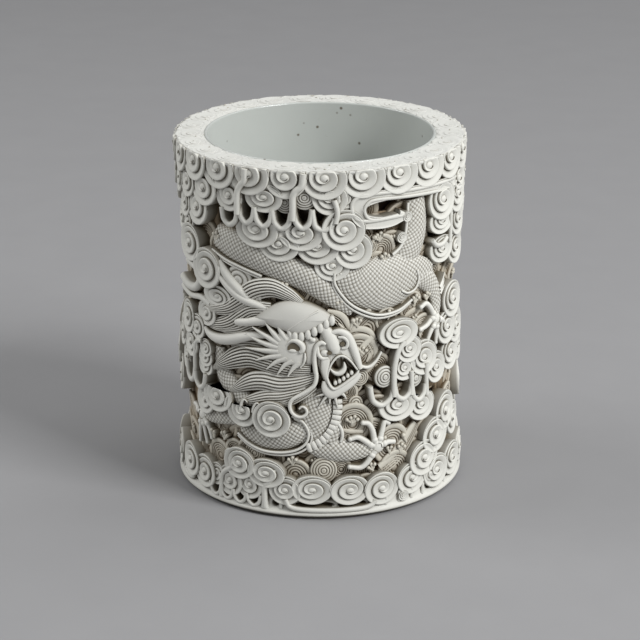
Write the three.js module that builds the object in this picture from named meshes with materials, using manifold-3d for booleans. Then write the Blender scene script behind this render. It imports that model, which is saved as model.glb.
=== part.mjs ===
// Brush pot of unglazed white porcelain: a thrown, glazed liner inside a pierced wall,
// which carries a dragon among clouds and waves in high relief.
// Millimetres, +Z up, the origin at the middle of the foot, the front faces -Y.
import * as THREE from "three";
import { mergeVertices } from "three/addons/utils/BufferGeometryUtils.js";
import Module from "manifold-3d";

const wasm = await Module();
wasm.setup();

// Driving dimensions
const OUTER_RADIUS = 53;
const HEIGHT = 130.5;
const CLEARANCE = 0.3;
const LINER_WALL = 2.6;
const LINER_GAP = 1.9;
const LINER_BEVEL = 2;
const FLOOR_THICKNESS = 4.5;
const FLOOR_COVE = 3;
const WALL_THICKNESS = 2.2;
const RELIEF_DEPTH = 5.2;
const FOOT_HEIGHT = 3;
const FOOT_WIDTH = 17;
const FOOT_CHAMFER = 0.8;
const RIM_HEIGHT = 3;
const RIM_CHAMFER = 0.6;
const RIM_ROW_COUNT = 24;
const BASE_ROW_COUNT = 24;
const WAVE_HEIGHT = 3.0;

// Roundness of the turned pieces, in sides
const TURNED_SIDES = 36;
const LOBE_SIDES = 7;
const ROW_LOBE_SIDES = 6;
const SMALL_LOBE_SIDES = 6;
const SMALL_LOBE = 5;
const FAN_SIDES = 6;
const WINDOW_SIDES = 5;

// Cuts and joins leave no edge shorter than this.
const JOIN_TOLERANCE = 0.08;

// Places that follow from the driving dimensions
const SEAT_RADIUS = OUTER_RADIUS - RELIEF_DEPTH;
const WALL_RADIUS = SEAT_RADIUS - CLEARANCE;
const WALL_BORE_RADIUS = WALL_RADIUS - WALL_THICKNESS;
const LINER_RADIUS = WALL_BORE_RADIUS - LINER_GAP;
const LINER_BORE_RADIUS = LINER_RADIUS - LINER_WALL;
const FOOT_BORE_RADIUS = OUTER_RADIUS - FOOT_WIDTH;
const WALL_BOTTOM = FOOT_HEIGHT + CLEARANCE;
const RIM_BOTTOM = HEIGHT - RIM_HEIGHT;
const WALL_TOP = RIM_BOTTOM - CLEARANCE;

// The relief is drawn on a flat sheet, the unrolled outside of the pot as it was measured:
// u runs round to the right from the middle of the front, v runs up from the foot.
const SHEET_RADIUS = 53;
const SHEET_HEIGHT = 130.5;
const SHEET_BOTTOM = 3.3;
const GIRTH = 2 * Math.PI * SHEET_RADIUS;
const GIRTH_SCALE = OUTER_RADIUS / SHEET_RADIUS;
const HEIGHT_SCALE = (HEIGHT - WALL_BOTTOM) / (SHEET_HEIGHT - SHEET_BOTTOM);

// The middle of a cloud lobe is this share of its lip's height.
const DISH = 0.72;

// The sides of a flat lobe stand this much further out than its middle, on the round pot.
const CURL = 0.6;

// How far a cutter reaches below the relief and above it.
const UNDERCUT = 2;
const CUTTER_TOP = 9;

const PORCELAIN = { color: 0xdedcd6, roughness: 0.62, metalness: 0 };
const STAINED = { color: 0xcfc7b4, roughness: 0.7, metalness: 0 };
const GLAZE = { color: 0xccd2ca, roughness: 0.22, metalness: 0 };

// Solids from geometry

function solidOf(geometry) {
  const bare = geometry.index ? geometry.toNonIndexed() : geometry.clone();
  bare.deleteAttribute("normal");
  bare.deleteAttribute("uv");
  const merged = mergeVertices(bare, 1e-4);
  return new wasm.Manifold(
    new wasm.Mesh({
      numProp: 3,
      vertProperties: merged.attributes.position.array,
      triVerts: new Uint32Array(merged.index.array),
      tolerance: JOIN_TOLERANCE,
    }),
  );
}

function union(solids) {
  return solids.reduce((sum, solid) => sum.add(solid));
}

// A neighbour can cut a crumb off a piece: the piece is its main body.
function mainBody(solid) {
  const bodies = solid.decompose();
  return bodies.reduce((a, b) => (a.volume() > b.volume() ? a : b));
}

function meshOf(name, solid, finish) {
  const data = solid.getMesh();
  const geometry = new THREE.BufferGeometry();
  geometry.setAttribute("position", new THREE.BufferAttribute(data.vertProperties, 3));
  geometry.setIndex(new THREE.BufferAttribute(data.triVerts, 1));
  const faceted = geometry.toNonIndexed();
  faceted.computeVertexNormals();
  const mesh = new THREE.Mesh(faceted, new THREE.MeshStandardMaterial(finish));
  mesh.name = name;
  return mesh;
}

// A ring or cup turned about Z from its closed profile of [radius, height] points.
function turned(profile, sides) {
  const points = profile.map(([radius, height]) => new THREE.Vector2(radius, height));
  const geometry = new THREE.LatheGeometry([...points, points[0]], sides);
  return solidOf(geometry.rotateX(Math.PI / 2));
}

// The sheet, rolled round the pot

function place(u, v, height) {
  const angle = u / SHEET_RADIUS;
  const radius = SEAT_RADIUS + height;
  const z = WALL_BOTTOM + (v - SHEET_BOTTOM) * HEIGHT_SCALE;
  return [radius * Math.sin(angle), -radius * Math.cos(angle), z];
}

function roll(geometry) {
  const position = geometry.attributes.position;
  for (let i = 0; i < position.count; i++) {
    const at = place(position.getX(i), position.getY(i), position.getZ(i));
    position.setXYZ(i, ...at);
  }
  return geometry;
}

// Shapes on the sheet. Each takes the clearance that it has to cut out of its neighbours:
// with none it is the piece itself, with one it is a tall cutter, that much wider.
// Tops are shares of the relief's depth.

// A cloud lobe: a dished disc whose edge is its raised lip, pressed flat on the pot.
function lobe(u, v, halfWidth, halfHeight, top, roundness = LOBE_SIDES) {
  return (clearance) => {
    const height = top * RELIEF_DEPTH - CURL;
    const dish = [[1, height], [0, DISH * height]];
    const profile = clearance ? [[1, CUTTER_TOP], [0, CUTTER_TOP]] : dish;
    const sides = halfWidth > SMALL_LOBE ? roundness : SMALL_LOBE_SIDES;
    const disc = button([[0, -UNDERCUT], [1, -UNDERCUT], ...profile], sides);
    return press(disc, u, v, halfWidth + clearance, halfHeight + clearance);
  };
}

// A button of unit radius is stretched and pressed on the pot at a place on the sheet.
function press(geometry, u, v, halfWidth, halfHeight) {
  const angle = u / SHEET_RADIUS;
  const along = new THREE.Vector3(Math.cos(angle), Math.sin(angle), 0);
  const outward = new THREE.Vector3(Math.sin(angle), -Math.cos(angle), 0);
  const up = new THREE.Vector3(0, 0, 1);
  const onto = new THREE.Matrix4().makeBasis(along, up, outward).setPosition(...place(u, v, 0));
  geometry.scale(halfWidth * GIRTH_SCALE, halfHeight * HEIGHT_SCALE, 1);
  return geometry.applyMatrix4(onto);
}

// A disc of unit radius that lies on the sheet, turned from its profile.
function button(profile, sides) {
  const points = profile.map(([radius, height]) => new THREE.Vector2(radius, height));
  return new THREE.LatheGeometry(points, sides).rotateX(Math.PI / 2);
}

// No limb tapers to less than this half width.
const THINNEST = 0.3;

// Half sections of a limb, as [share of the half width, share of the height].
const ROUND_SECTION = [[1, 0.3], [0.7, 0.82], [0, 1], [-0.7, 0.82], [-1, 0.3]];
const LOCK_SECTION = [[1, 0.4], [0.4, 1], [-0.4, 1], [-1, 0.4]];
const BAND_SECTION = [[0.75, 1], [-0.75, 1]];
const RIDGE_SECTION = [[0, 1]];

// A limb: a section swept along points of [u, v, half width, top], as it swells and tapers.
function limb(points, section = ROUND_SECTION, stride = 9) {
  return (clearance) => {
    const spine = new THREE.CatmullRomCurve3(points.map(([u, v]) => new THREE.Vector3(u, v, 0)));
    const girth = new THREE.CatmullRomCurve3(points.map((p) => new THREE.Vector3(p[2], p[3], 0)));
    const steps = Math.max(points.length - 1, Math.round(spine.getLength() / stride));
    const rings = [];
    for (let i = 0; i <= steps; i++) {
      const t = i / steps;
      const centre = spine.getPoint(t);
      const along = spine.getTangent(t);
      const { x: halfWidth, y: top } = girth.getPoint(t);
      const end = i === 0 ? -clearance : i === steps ? clearance : 0;
      centre.addScaledVector(along, end);
      const side = new THREE.Vector3(along.y, -along.x, 0);
      const wide = Math.max(halfWidth, THINNEST) + clearance;
      const outline = section.map(([x, y]) => [x, clearance ? CUTTER_TOP : y * top * RELIEF_DEPTH]);
      const ring = [[1, -UNDERCUT], ...outline, [-1, -UNDERCUT]];
      rings.push(ring.map(([x, z]) => centre.clone().addScaledVector(side, x * wide).setZ(z)));
    }
    return roll(loft(rings));
  };
}

// A closed skin over rings of points, with a flat cap on each end.
function loft(rings) {
  const count = rings[0].length;
  const positions = rings.flat().flatMap((p) => [p.x, p.y, p.z]);
  const faces = [];
  for (let i = 0; i + 1 < rings.length; i++) {
    for (let j = 0; j < count; j++) {
      const a = i * count + j;
      const b = i * count + ((j + 1) % count);
      faces.push(a, a + count, b, b, a + count, b + count);
    }
  }
  const last = (rings.length - 1) * count;
  for (let j = 1; j + 1 < count; j++) {
    faces.push(0, j, j + 1);
    faces.push(last, last + j + 1, last + j);
  }
  const geometry = new THREE.BufferGeometry();
  geometry.setAttribute("position", new THREE.Float32BufferAttribute(positions, 3));
  geometry.setIndex(faces);
  return geometry;
}

// A strand of one width, like a cord laid on the pot.
function strand(halfWidth, top, points) {
  return limb(points.map(([u, v]) => [u, v, halfWidth, top]), BAND_SECTION, 5);
}

// A tapered spike or claw from its root to its tip.
function spike(rootWidth, top, points) {
  const last = points.length - 1;
  return limb(
    points.map(([u, v], i) => [u, v, rootWidth * (1 - 0.8 * (i / last)), top]),
    RIDGE_SECTION,
    9,
  );
}

// Every second lobe of a row sits back by this share of the relief's depth.
const STAGGER = 0.05;

// A row of lobes right round the pot. Each is wide enough, as a share of the pitch, to meet its
// neighbours.
function rowRound(count, start, v, overlap, halfHeight, top) {
  const pitch = GIRTH / count;
  return Array.from({ length: count }, (_, i) => {
    const step = STAGGER * (i % 2);
    return lobe(start + i * pitch, v, overlap * pitch, halfHeight, top - step, ROW_LOBE_SIDES);
  });
}

// The spacing of a bank's lobes, as shares of a half width along it and a half height down it.
const BANK_PITCH = 1.8;
const TIER_PITCH = 1.15;

// Each tier of a bank sits back by this share of the relief's depth.
const TIER_STEP = 0.07;

// A hanging bank of lobes: each tier has its count, and sits lower and further back.
function tiers(u, v, counts, halfWidth, halfHeight, top) {
  const pitch = BANK_PITCH * halfWidth;
  return counts.flatMap((count, tier) =>
    Array.from({ length: count }, (_, i) =>
      lobe(
        u + (i - (count - 1) / 2) * pitch,
        v - tier * TIER_PITCH * halfHeight,
        halfWidth,
        halfHeight,
        top - TIER_STEP * tier - STAGGER * (i % 2),
        ROW_LOBE_SIDES,
      ),
    ),
  );
}

// An arcade's cord has this half width, and the bottom of each loop is set in by this much.
const CORD = 0.9;
const LOOP_INSET = 1.6;

// An arcade: loops of cord that hang side by side, as under a cloud bank.
function arcade(u, v, loops, pitch, drop, top) {
  return Array.from({ length: loops }, (_, i) => {
    const left = [u + i * pitch, v];
    const right = [u + (i + 1) * pitch, v];
    const lowLeft = [left[0] + LOOP_INSET, v - drop];
    const lowRight = [right[0] - LOOP_INSET, v - drop];
    return strand(CORD, top, [left, lowLeft, lowRight, right]);
  });
}

// Clouds

// The rim's row of lobes hangs from the sheet's top edge, where the flat rim cuts it off.
const RIM_ROW = rowRound(RIM_ROW_COUNT, 1.5, SHEET_HEIGHT - RIM_HEIGHT, 0.605, 8, 0.95);

const BASE_ROW = rowRound(BASE_ROW_COUNT, -3, 10.2, 0.56, 6.4, 0.86);

const SPRIG_LEFT = [
  lobe(-31.5, 18.3, 7, 6, 0.96),
  strand(1.1, 0.97, [[-34, 18.5], [-36, 15.5], [-39, 12.5], [-39.8, 9], [-39.8, 3.6]]),
];

const SPRIG_RIGHT = [
  lobe(-19.4, 16.6, 7.2, 5.6, 0.96),
  strand(1.3, 0.97, [[-17.5, 18.5], [-17.6, 15.5], [-19.5, 12.5], [-20.8, 9], [-20.8, 3.6]]),
];

const BANK_TOP = [
  lobe(-20.5, 118.6, 7.5, 6, 0.84),
  lobe(-8.5, 119.2, 6.6, 5.4, 0.76),
  lobe(3.5, 119.6, 6.5, 6, 0.84),
  lobe(-23.5, 108.3, 8.8, 6.8, 0.86),
  lobe(-7, 108.3, 8.4, 6.6, 0.84),
  lobe(8, 109.5, 7.3, 7.3, 0.96),
  lobe(-15, 103, 8, 6.4, 0.78),
  lobe(-0.8, 103, 8.2, 6.8, 0.76),
  lobe(12, 101.3, 7.2, 7, 0.8),
  lobe(4.5, 95.7, 6.7, 5.6, 0.7),
];

const ARCADE_TOP = [
  ...arcade(-37.6, 114.4, 6, 6.9, 5.4, 0.98),
  strand(0.9, 0.96, [[-30.6, 113.4], [-30.4, 120]]),
  strand(0.9, 0.96, [[-9.8, 113.4], [-9.6, 120]]),
];

const STRAP = [
  strand(1.7, 0.93, [[44, 119], [30, 119.4], [15.5, 119.6], [11.6, 115.2], [15.5, 110.7], [29.5, 110.6]]),
  strand(1.2, 0.8, [[34, 112.6], [20.5, 112.9], [17, 115.2], [20.5, 117.6], [44, 117.4]]),
  strand(2.3, 0.9, [[42, 118.2], [62, 118.2]]),
];

const BANK_LEFT_TOP = [
  lobe(-35, 118.2, 6.3, 5.6, 0.84),
  lobe(-48.5, 118.4, 8, 6.8, 0.86),
  lobe(-61, 117.8, 6.6, 6, 0.84),
  lobe(-53.5, 110.5, 7.5, 7, 0.8),
  lobe(-64.5, 109.5, 6, 5.6, 0.76),
  lobe(-62, 102.5, 6, 5.6, 0.72),
];

const BANK_LEFT_UPPER = [
  lobe(-59, 95, 8.5, 7, 0.9),
  lobe(-47, 89, 7.6, 7.4, 0.95),
  lobe(-42, 79.8, 8, 4.2, 0.74),
  lobe(-31.5, 88, 6, 4.6, 0.62),
  strand(1.8, 0.8, [[-66, 79], [-57, 78.6], [-52.5, 82.5], [-56, 87.6], [-62, 87.8]]),
];

const BANK_LEFT_MIDDLE = [
  lobe(-48, 71.6, 5.6, 4.6, 0.72),
  lobe(-62, 67, 6.6, 6.2, 0.86),
  lobe(-54, 65, 5.6, 4.6, 0.84),
  lobe(-59.5, 58, 6.4, 6, 0.86),
  lobe(-49, 54.6, 5.2, 6.2, 0.76),
  strand(1, 0.98, [[-50.5, 60.5], [-54.5, 58], [-55.5, 53], [-55.5, 45.5]]),
  ...arcade(-62.4, 48.6, 2, 6.9, 5.4, 0.96),
];

const BANK_LEFT_LOWER = [
  lobe(-49.5, 38.6, 5.8, 5.6, 0.82),
  lobe(-42, 42, 7.5, 6, 0.94),
  lobe(-30, 38, 6.4, 5.6, 0.88),
  lobe(-18, 37.5, 7.3, 6.8, 0.96),
];

const BANK_RIGHT_TOP = [
  lobe(52, 112.4, 8, 7.4, 0.94),
  lobe(66, 111.6, 8, 7, 0.9),
  lobe(53.5, 104.6, 7.5, 4.8, 0.84),
  lobe(67.5, 102, 7, 6, 0.84),
  lobe(54, 93.8, 7.6, 5, 0.82),
  lobe(66, 91.6, 7.4, 6, 0.8),
  strand(1, 0.98, [[58.2, 106], [58.2, 94]]),
];

const BANK_RIGHT_MIDDLE = [
  lobe(30, 68.4, 8.2, 5.6, 0.96),
  lobe(35, 61, 5.6, 5.4, 0.84),
  lobe(24.5, 53, 4.4, 4.2, 0.8),
  lobe(42.5, 56, 7, 6.6, 0.86),
  lobe(50.5, 50, 5.4, 6, 0.84),
  lobe(30, 41.5, 8, 6, 0.88),
  lobe(41.5, 38.6, 6.8, 6, 0.84),
  strand(1, 0.98, [[32.4, 64], [29, 59.5], [27.8, 55], [27.8, 42]]),
  ...arcade(18.6, 49.6, 3, 8.2, 6.2, 0.96),
];

const BANK_RIGHT_FAR = [
  lobe(62, 72.6, 7.4, 6.6, 0.88),
  lobe(57.4, 63.4, 6.6, 6.2, 0.84),
  lobe(68, 61, 7.4, 6.6, 0.8),
  lobe(62, 52, 7.4, 6.4, 0.76),
];

const SCROLLS_RIGHT = [
  lobe(57.5, 31.6, 8, 7.4, 0.84),
  lobe(50, 24.5, 8.4, 7, 0.9),
  lobe(43, 17.5, 8, 6.6, 0.93),
  lobe(66, 26, 7, 6.4, 0.8),
];

// The same kinds of bank go on round the back, where the top ones hang from the rim's row.
const BACK_MIDDLE = GIRTH / 2;
const HANG_LINE = SHEET_HEIGHT - 13.5;

const BANK_BACK_TOP = [
  ...tiers(BACK_MIDDLE - 40, HANG_LINE, [4, 3, 2], 8.4, 7, 0.86),
  ...tiers(BACK_MIDDLE - 84, HANG_LINE, [3, 2], 8.4, 7, 0.86),
];

const ARCADE_BACK = [
  ...arcade(BACK_MIDDLE + 4, 115, 4, 7.2, 5.4, 0.98),
  strand(0.9, 0.96, [[BACK_MIDDLE + 11.2, 114], [BACK_MIDDLE + 11.2, 120.4]]),
  strand(0.9, 0.96, [[BACK_MIDDLE + 25.6, 114], [BACK_MIDDLE + 25.6, 120.4]]),
];

const BANK_BACK_RIGHT = tiers(BACK_MIDDLE + 58, HANG_LINE, [4, 3, 2], 8.4, 7, 0.86);

const BANK_BACK_LOW = tiers(BACK_MIDDLE - 24, 46, [1, 2, 1], 8.6, 7.4, 0.92);

const BANK_BACK_SIDE = [
  ...tiers(BACK_MIDDLE + 62, 64, [1, 2, 1], 8.8, 7.4, 0.92),
  ...tiers(BACK_MIDDLE + 82, 48, [1, 2], 8, 7, 0.85),
];

const SCROLLS_BACK = [
  lobe(BACK_MIDDLE - 76, 33, 8, 7.2, 0.9),
  lobe(BACK_MIDDLE - 66, 25, 8, 7, 0.92),
  lobe(BACK_MIDDLE - 55, 18.4, 8, 6.4, 0.94),
];

const SCROLLS_BACK_RIGHT = [
  lobe(BACK_MIDDLE + 34, 30, 8, 7.2, 0.9),
  lobe(BACK_MIDDLE + 24, 23.4, 8, 7, 0.92),
  lobe(BACK_MIDDLE + 13, 17.6, 8, 6.2, 0.94),
];

// The dragon's head

const FOREHEAD = [
  limb([
    [-24.5, 75, 0.6, 0.7],
    [-18, 77, 3.4, 0.92],
    [-11, 77.8, 5.8, 1],
    [-4, 77.2, 5.8, 1],
    [2, 76.6, 3.4, 0.96],
    [5.4, 76, 1, 0.86],
  ]),
  spike(1.9, 0.86, [[-21, 74.6], [-27, 73.6], [-32, 72.2]]),
];

const EYE_PLATE = [
  lobe(-12.6, 65.4, 6.2, 5, 0.94),
  limb([[-7.4, 69, 1, 0.7], [-5.6, 66, 2.4, 0.86], [-4.6, 62, 3, 0.84], [-5.4, 58.4, 1.6, 0.76]]),
  spike(1.5, 0.9, [[-13.4, 68], [-15.8, 73.2]]),
  spike(1.5, 0.9, [[-15, 67.8], [-20.4, 72.2]]),
  spike(1.5, 0.9, [[-16, 66.6], [-24.5, 69.8]]),
  spike(1.5, 0.9, [[-16, 65], [-28, 66.5]]),
  spike(1.5, 0.9, [[-15.6, 63.4], [-26, 61.8]]),
  spike(1.5, 0.9, [[-14, 62.4], [-22, 59]]),
  spike(1.4, 0.9, [[-12, 61.6], [-18, 57]]),
  spike(1.4, 0.9, [[-9.6, 61.6], [-14, 56]]),
];

const SNOUT = [
  limb([[0.6, 74, 2, 0.84], [3, 70.4, 4.2, 0.96], [5, 66.6, 4.8, 0.98], [5.6, 63.4, 3.4, 0.96]]),
  lobe(1.6, 63.9, 1.9, 1.7, 0.98),
  lobe(7.6, 67, 2, 2, 0.98),
  limb(
    [[8.4, 70, 1.4, 0.94], [10.4, 67, 1.4, 0.96], [12, 63, 1.3, 0.96], [13.9, 57.8, 1.1, 0.92]],
    BAND_SECTION,
  ),
  limb([[1.4, 62.6, 1.4, 0.94], [0.7, 58, 1.5, 0.94], [2.7, 53.4, 0.6, 0.9]], BAND_SECTION),
];

const TONGUE = [
  limb(
    [[9.6, 61, 0.8, 0.6], [10.6, 58.6, 1.1, 0.7], [8.6, 56, 1.3, 0.74], [5.6, 56.4, 1, 0.7]],
    BAND_SECTION,
    3,
  ),
];

const JAW = [
  limb(
    [[2.6, 51.6, 1.2, 0.9], [5.2, 49.6, 1.7, 0.94], [9.6, 51.2, 1.6, 0.96], [14.6, 54.6, 1.4, 0.92]],
    BAND_SECTION,
    4,
  ),
];

// The ground of the open mouth, behind the tongue.
const MOUTH = [
  limb([[6.4, 64, 4.6, 0.5], [7.4, 58, 6, 0.44], [8.4, 53.6, 4.6, 0.44]]),
];

const BEARD = [
  spike(1.5, 0.84, [[4, 48], [-1.6, 47.4]]),
  spike(1.5, 0.84, [[4, 48.4], [-0.5, 43.4]]),
  spike(1.5, 0.84, [[4, 48.4], [3.4, 44]]),
  spike(1.5, 0.84, [[4.6, 48.4], [6.4, 43]]),
];

const HORN_UPPER = [
  limb([[-25.5, 80.4, 2, 0.8], [-31, 81.6, 2, 0.88], [-36, 84.4, 1.8, 0.9], [-40.4, 88, 0.9, 0.86]]),
];

const HORN_LOWER = [
  limb([
    [-25.6, 68.2, 1.5, 0.84],
    [-31, 66, 1.9, 0.92],
    [-37, 63.9, 2.1, 0.94],
    [-43, 62.8, 2, 0.92],
    [-48.4, 64.2, 1, 0.86],
  ]),
];

const WHISKER_LEFT = [
  strand(0.8, 0.98, [
    [-1.4, 66.4],
    [-2, 62],
    [-1.5, 57],
    [-1.8, 52.4],
    [-5, 49.4],
    [-10, 46.2],
    [-10.6, 42],
    [-7.6, 39.8],
    [-5, 41.6],
  ]),
];

const WHISKER_RIGHT = [strand(0.7, 0.9, [[15.6, 58.2], [18.4, 57.8], [21, 59.6], [22.6, 62]])];

// The mane, lock by lock from the top

function lock(width, top, points) {
  const last = points.length - 1;
  return [limb(points.map(([u, v], i) => [u, v, i === last ? 0.5 : width, top]), LOCK_SECTION, 8)];
}

const MANE_LOCKS = [
  lock(3.2, 0.8, [[-9, 86], [-18, 87], [-25, 85], [-31, 80], [-37, 76.4], [-46, 75]]),
  lock(3.4, 0.78, [[-19, 81], [-25.6, 79], [-31, 75.4], [-35.4, 71.6], [-42, 68.6], [-51, 69.6]]),
  lock(5, 0.82, [[-6, 57], [-14, 57.6], [-21, 59.4], [-27.4, 60.4], [-34, 58.6], [-43.6, 53]]),
  lock(3.4, 0.8, [[-4, 53.4], [-9, 52.4], [-15, 51], [-22, 51.5], [-28.4, 50], [-35.4, 46.2]]),
  lock(2.6, 0.76, [[-9, 47.6], [-15, 46.4], [-20, 45.6], [-25, 44.2], [-31.4, 42.4]]),
];

// The dragon's body, legs and claws

function paw(u, v, palm, top, claws) {
  return [lobe(u, v, palm, palm, top), ...claws.map((claw) => spike(1.1, top, [[u, v], ...claw]))];
}

const FOREPAW = paw(21.6, 26.4, 3.4, 0.88, [
  [[18.6, 28.6], [15.4, 30.6], [11.4, 30.6]],
  [[20.2, 30.4], [18.8, 34], [16.2, 36.2]],
  [[23, 30], [24, 33.4], [26.2, 35]],
  [[25, 27], [28.4, 27.2]],
  [[19.4, 23.2], [16.8, 20], [11.2, 19.8]],
]);

const FORELEG = [
  limb([
    [-2.6, 26.6, 2.4, 0.7],
    [3, 26.4, 5, 0.8],
    [10, 25.2, 4.4, 0.84],
    [17.6, 25.2, 3.2, 0.86],
    [21.6, 26.2, 2.4, 0.84],
  ]),
  limb([[6.6, 42, 0.8, 0.66], [6.8, 37, 2.2, 0.74], [6, 32.6, 3.2, 0.76], [3, 29, 2.6, 0.7]]),
];

const FAR_PAW = paw(-53, 31, 3, 0.76, [
  [[-54, 27.4], [-55, 20.4]],
  [[-51.4, 27.2], [-50, 21.4]],
  [[-48.6, 28.2], [-47, 24]],
  [[-57.4, 33]],
]);

const FAR_FORELEG = [limb([[-35, 34, 2.6, 0.6], [-42, 33, 3, 0.68], [-50.4, 31.4, 2.4, 0.7]])];

const SHOULDER = [
  limb([
    [-31, 30.4, 1.6, 0.56],
    [-24, 30, 4.6, 0.72],
    [-15, 31.4, 6.6, 0.82],
    [-8.6, 33, 5, 0.76],
    [-5, 34, 2.4, 0.66],
  ]),
];

const CHEST = [
  limb([
    [2.6, 48, 3, 0.6],
    [0.4, 44, 6, 0.72],
    [-1.6, 38.6, 8, 0.76],
    [-2.4, 33, 6, 0.7],
    [-4.4, 28.4, 2.6, 0.56],
  ]),
];

const NECK = [
  limb([[-43, 60, 2.2, 0.56], [-41.6, 52, 3.6, 0.66], [-36.6, 46, 4.4, 0.68], [-30, 41.4, 4, 0.62]]),
];

const BACK_COIL = [
  limb([
    [-43, 100.4, 5.6, 0.62],
    [-31, 98.6, 6, 0.72],
    [-18, 95.4, 5.8, 0.76],
    [-5, 90.6, 5.2, 0.76],
    [4, 84.4, 4.4, 0.7],
    [12.6, 78.4, 3, 0.6],
  ]),
];

const HAUNCH = [
  limb([
    [7.6, 93, 3, 0.66],
    [12.6, 88.4, 7.4, 0.8],
    [22, 87.4, 10.6, 0.88],
    [31.6, 88.4, 10.2, 0.86],
    [39.6, 89, 7, 0.76],
    [44.6, 89, 4, 0.66],
  ]),
];

const RISING_BODY = [
  limb([
    [33, 94.6, 7, 0.66],
    [38, 100, 7.4, 0.76],
    [39.4, 107.4, 6.2, 0.76],
    [38.8, 115.6, 5.4, 0.7],
  ]),
];

const HIND_LEG = [
  limb([
    [41.6, 86.6, 3.4, 0.7],
    [47, 82.4, 3, 0.74],
    [50.4, 77, 2.2, 0.76],
    [50.6, 71.4, 2, 0.76],
  ]),
];

const HIND_PAW = paw(50, 68.6, 3, 0.82, [
  [[47.6, 71.6], [44.4, 75.4], [41.4, 75.4]],
  [[46.2, 69.4], [43.4, 67.6], [41, 67]],
  [[48, 65.4], [45.2, 62]],
  [[50.4, 64.8], [50.4, 60.4]],
]);

const LOIN = [
  limb([
    [BACK_MIDDLE - 93, 103.4, 6, 0.7],
    [BACK_MIDDLE - 84, 97, 7.4, 0.78],
    [BACK_MIDDLE - 72, 87, 8.2, 0.84],
    [BACK_MIDDLE - 58, 79.4, 8.4, 0.86],
    [BACK_MIDDLE - 43, 78, 8, 0.84],
    [BACK_MIDDLE - 29, 82.6, 7.4, 0.8],
  ]),
];

const TAIL_ROOT = [
  limb([
    [BACK_MIDDLE - 28, 83, 7.2, 0.78],
    [BACK_MIDDLE - 15, 90.4, 6.8, 0.8],
    [BACK_MIDDLE, 95, 6.2, 0.8],
    [BACK_MIDDLE + 15, 92.6, 5.6, 0.78],
    [BACK_MIDDLE + 27, 84, 5, 0.76],
  ]),
];

const TAIL_TIP = [
  limb([
    [BACK_MIDDLE + 27.6, 83, 4.8, 0.74],
    [BACK_MIDDLE + 34, 72, 4.2, 0.76],
    [BACK_MIDDLE + 32, 61, 3.4, 0.76],
    [BACK_MIDDLE + 22, 56, 2.6, 0.74],
    [BACK_MIDDLE + 12, 59, 1.8, 0.72],
  ]),
];

const TAIL_TUFT = [
  spike(1.8, 0.8, [[BACK_MIDDLE + 12, 60], [BACK_MIDDLE + 5, 65], [BACK_MIDDLE - 3, 65]]),
  spike(1.8, 0.8, [[BACK_MIDDLE + 12, 60], [BACK_MIDDLE + 4, 61], [BACK_MIDDLE - 5, 58.6]]),
  spike(1.8, 0.8, [[BACK_MIDDLE + 12, 60], [BACK_MIDDLE + 8, 67], [BACK_MIDDLE + 2, 71.6]]),
];

const REAR_LEG = [
  limb([
    [BACK_MIDDLE - 56, 73, 5.4, 0.74],
    [BACK_MIDDLE - 57, 64, 4.8, 0.8],
    [BACK_MIDDLE - 64, 56, 3.6, 0.8],
    [BACK_MIDDLE - 73, 54, 2.6, 0.78],
  ]),
];

const REAR_PAW = paw(BACK_MIDDLE - 76.4, 53, 3.4, 0.86, [
  [[BACK_MIDDLE - 80, 56.6], [BACK_MIDDLE - 84, 61]],
  [[BACK_MIDDLE - 81, 53.6], [BACK_MIDDLE - 87.4, 54]],
  [[BACK_MIDDLE - 80, 50], [BACK_MIDDLE - 84.6, 45.6]],
  [[BACK_MIDDLE - 76, 48.6], [BACK_MIDDLE - 77, 42.6]],
]);

// Waves: fans of water behind everything, fused with the wall that they are carved from.
// Each leans out at its crest and sinks into the wall at its foot.

// How far a fan's crest stands out and its foot stands back, as a share of the waves' height.
const FAN_LEAN = 0.35;

function fan(u, v, radius) {
  return () => {
    const edge = (1 - FAN_LEAN) * 0.7 * WAVE_HEIGHT;
    const middle = (1 - FAN_LEAN) * WAVE_HEIGHT;
    const disc = button([[0, -UNDERCUT], [1, -UNDERCUT], [1, edge], [0, middle]], FAN_SIDES);
    const lean = new THREE.Matrix4().makeShear(0, 0, 0, FAN_LEAN * WAVE_HEIGHT, 0, 0);
    return press(disc.applyMatrix4(lean), u, v, radius, radius);
  };
}

// A field of fans in offset rows, as water is drawn, between two corners of the sheet.
const FAN_PITCH = 14;
const FAN_RISE = 11;
const FAN_RADIUS = 6.4;

function sea(left, low, columns, rows) {
  return Array.from({ length: columns * rows }, (_, i) => {
    const row = Math.floor(i / columns);
    const column = (i % columns) + 0.5 * (row % 2);
    return fan(left + column * FAN_PITCH, low + row * FAN_RISE, FAN_RADIUS);
  });
}

const WAVES = [
  fan(-30, 21, 6),
  fan(-43, 26, 6.4),
  fan(-11, 20, 5.6),
  fan(2, 18.6, 5),
  fan(12, 38, 8),
  fan(31, 27, 8),
  fan(31, 17, 6.6),
  fan(14, 63.4, 8),
  fan(22, 56, 5.4),
  fan(19, 73, 6),
  fan(22.6, 101.6, 6.6),
  fan(-44, 98, 6),
  ...sea(BACK_MIDDLE - 88, 30, 2, 3),
  ...sea(BACK_MIDDLE - 46, 26, 6, 4),
  ...sea(BACK_MIDDLE + 42, 28, 3, 1),
  ...sea(BACK_MIDDLE + 48, 74, 3, 2),
  ...sea(BACK_MIDDLE - 56, 95, 3, 1),
];

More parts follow.
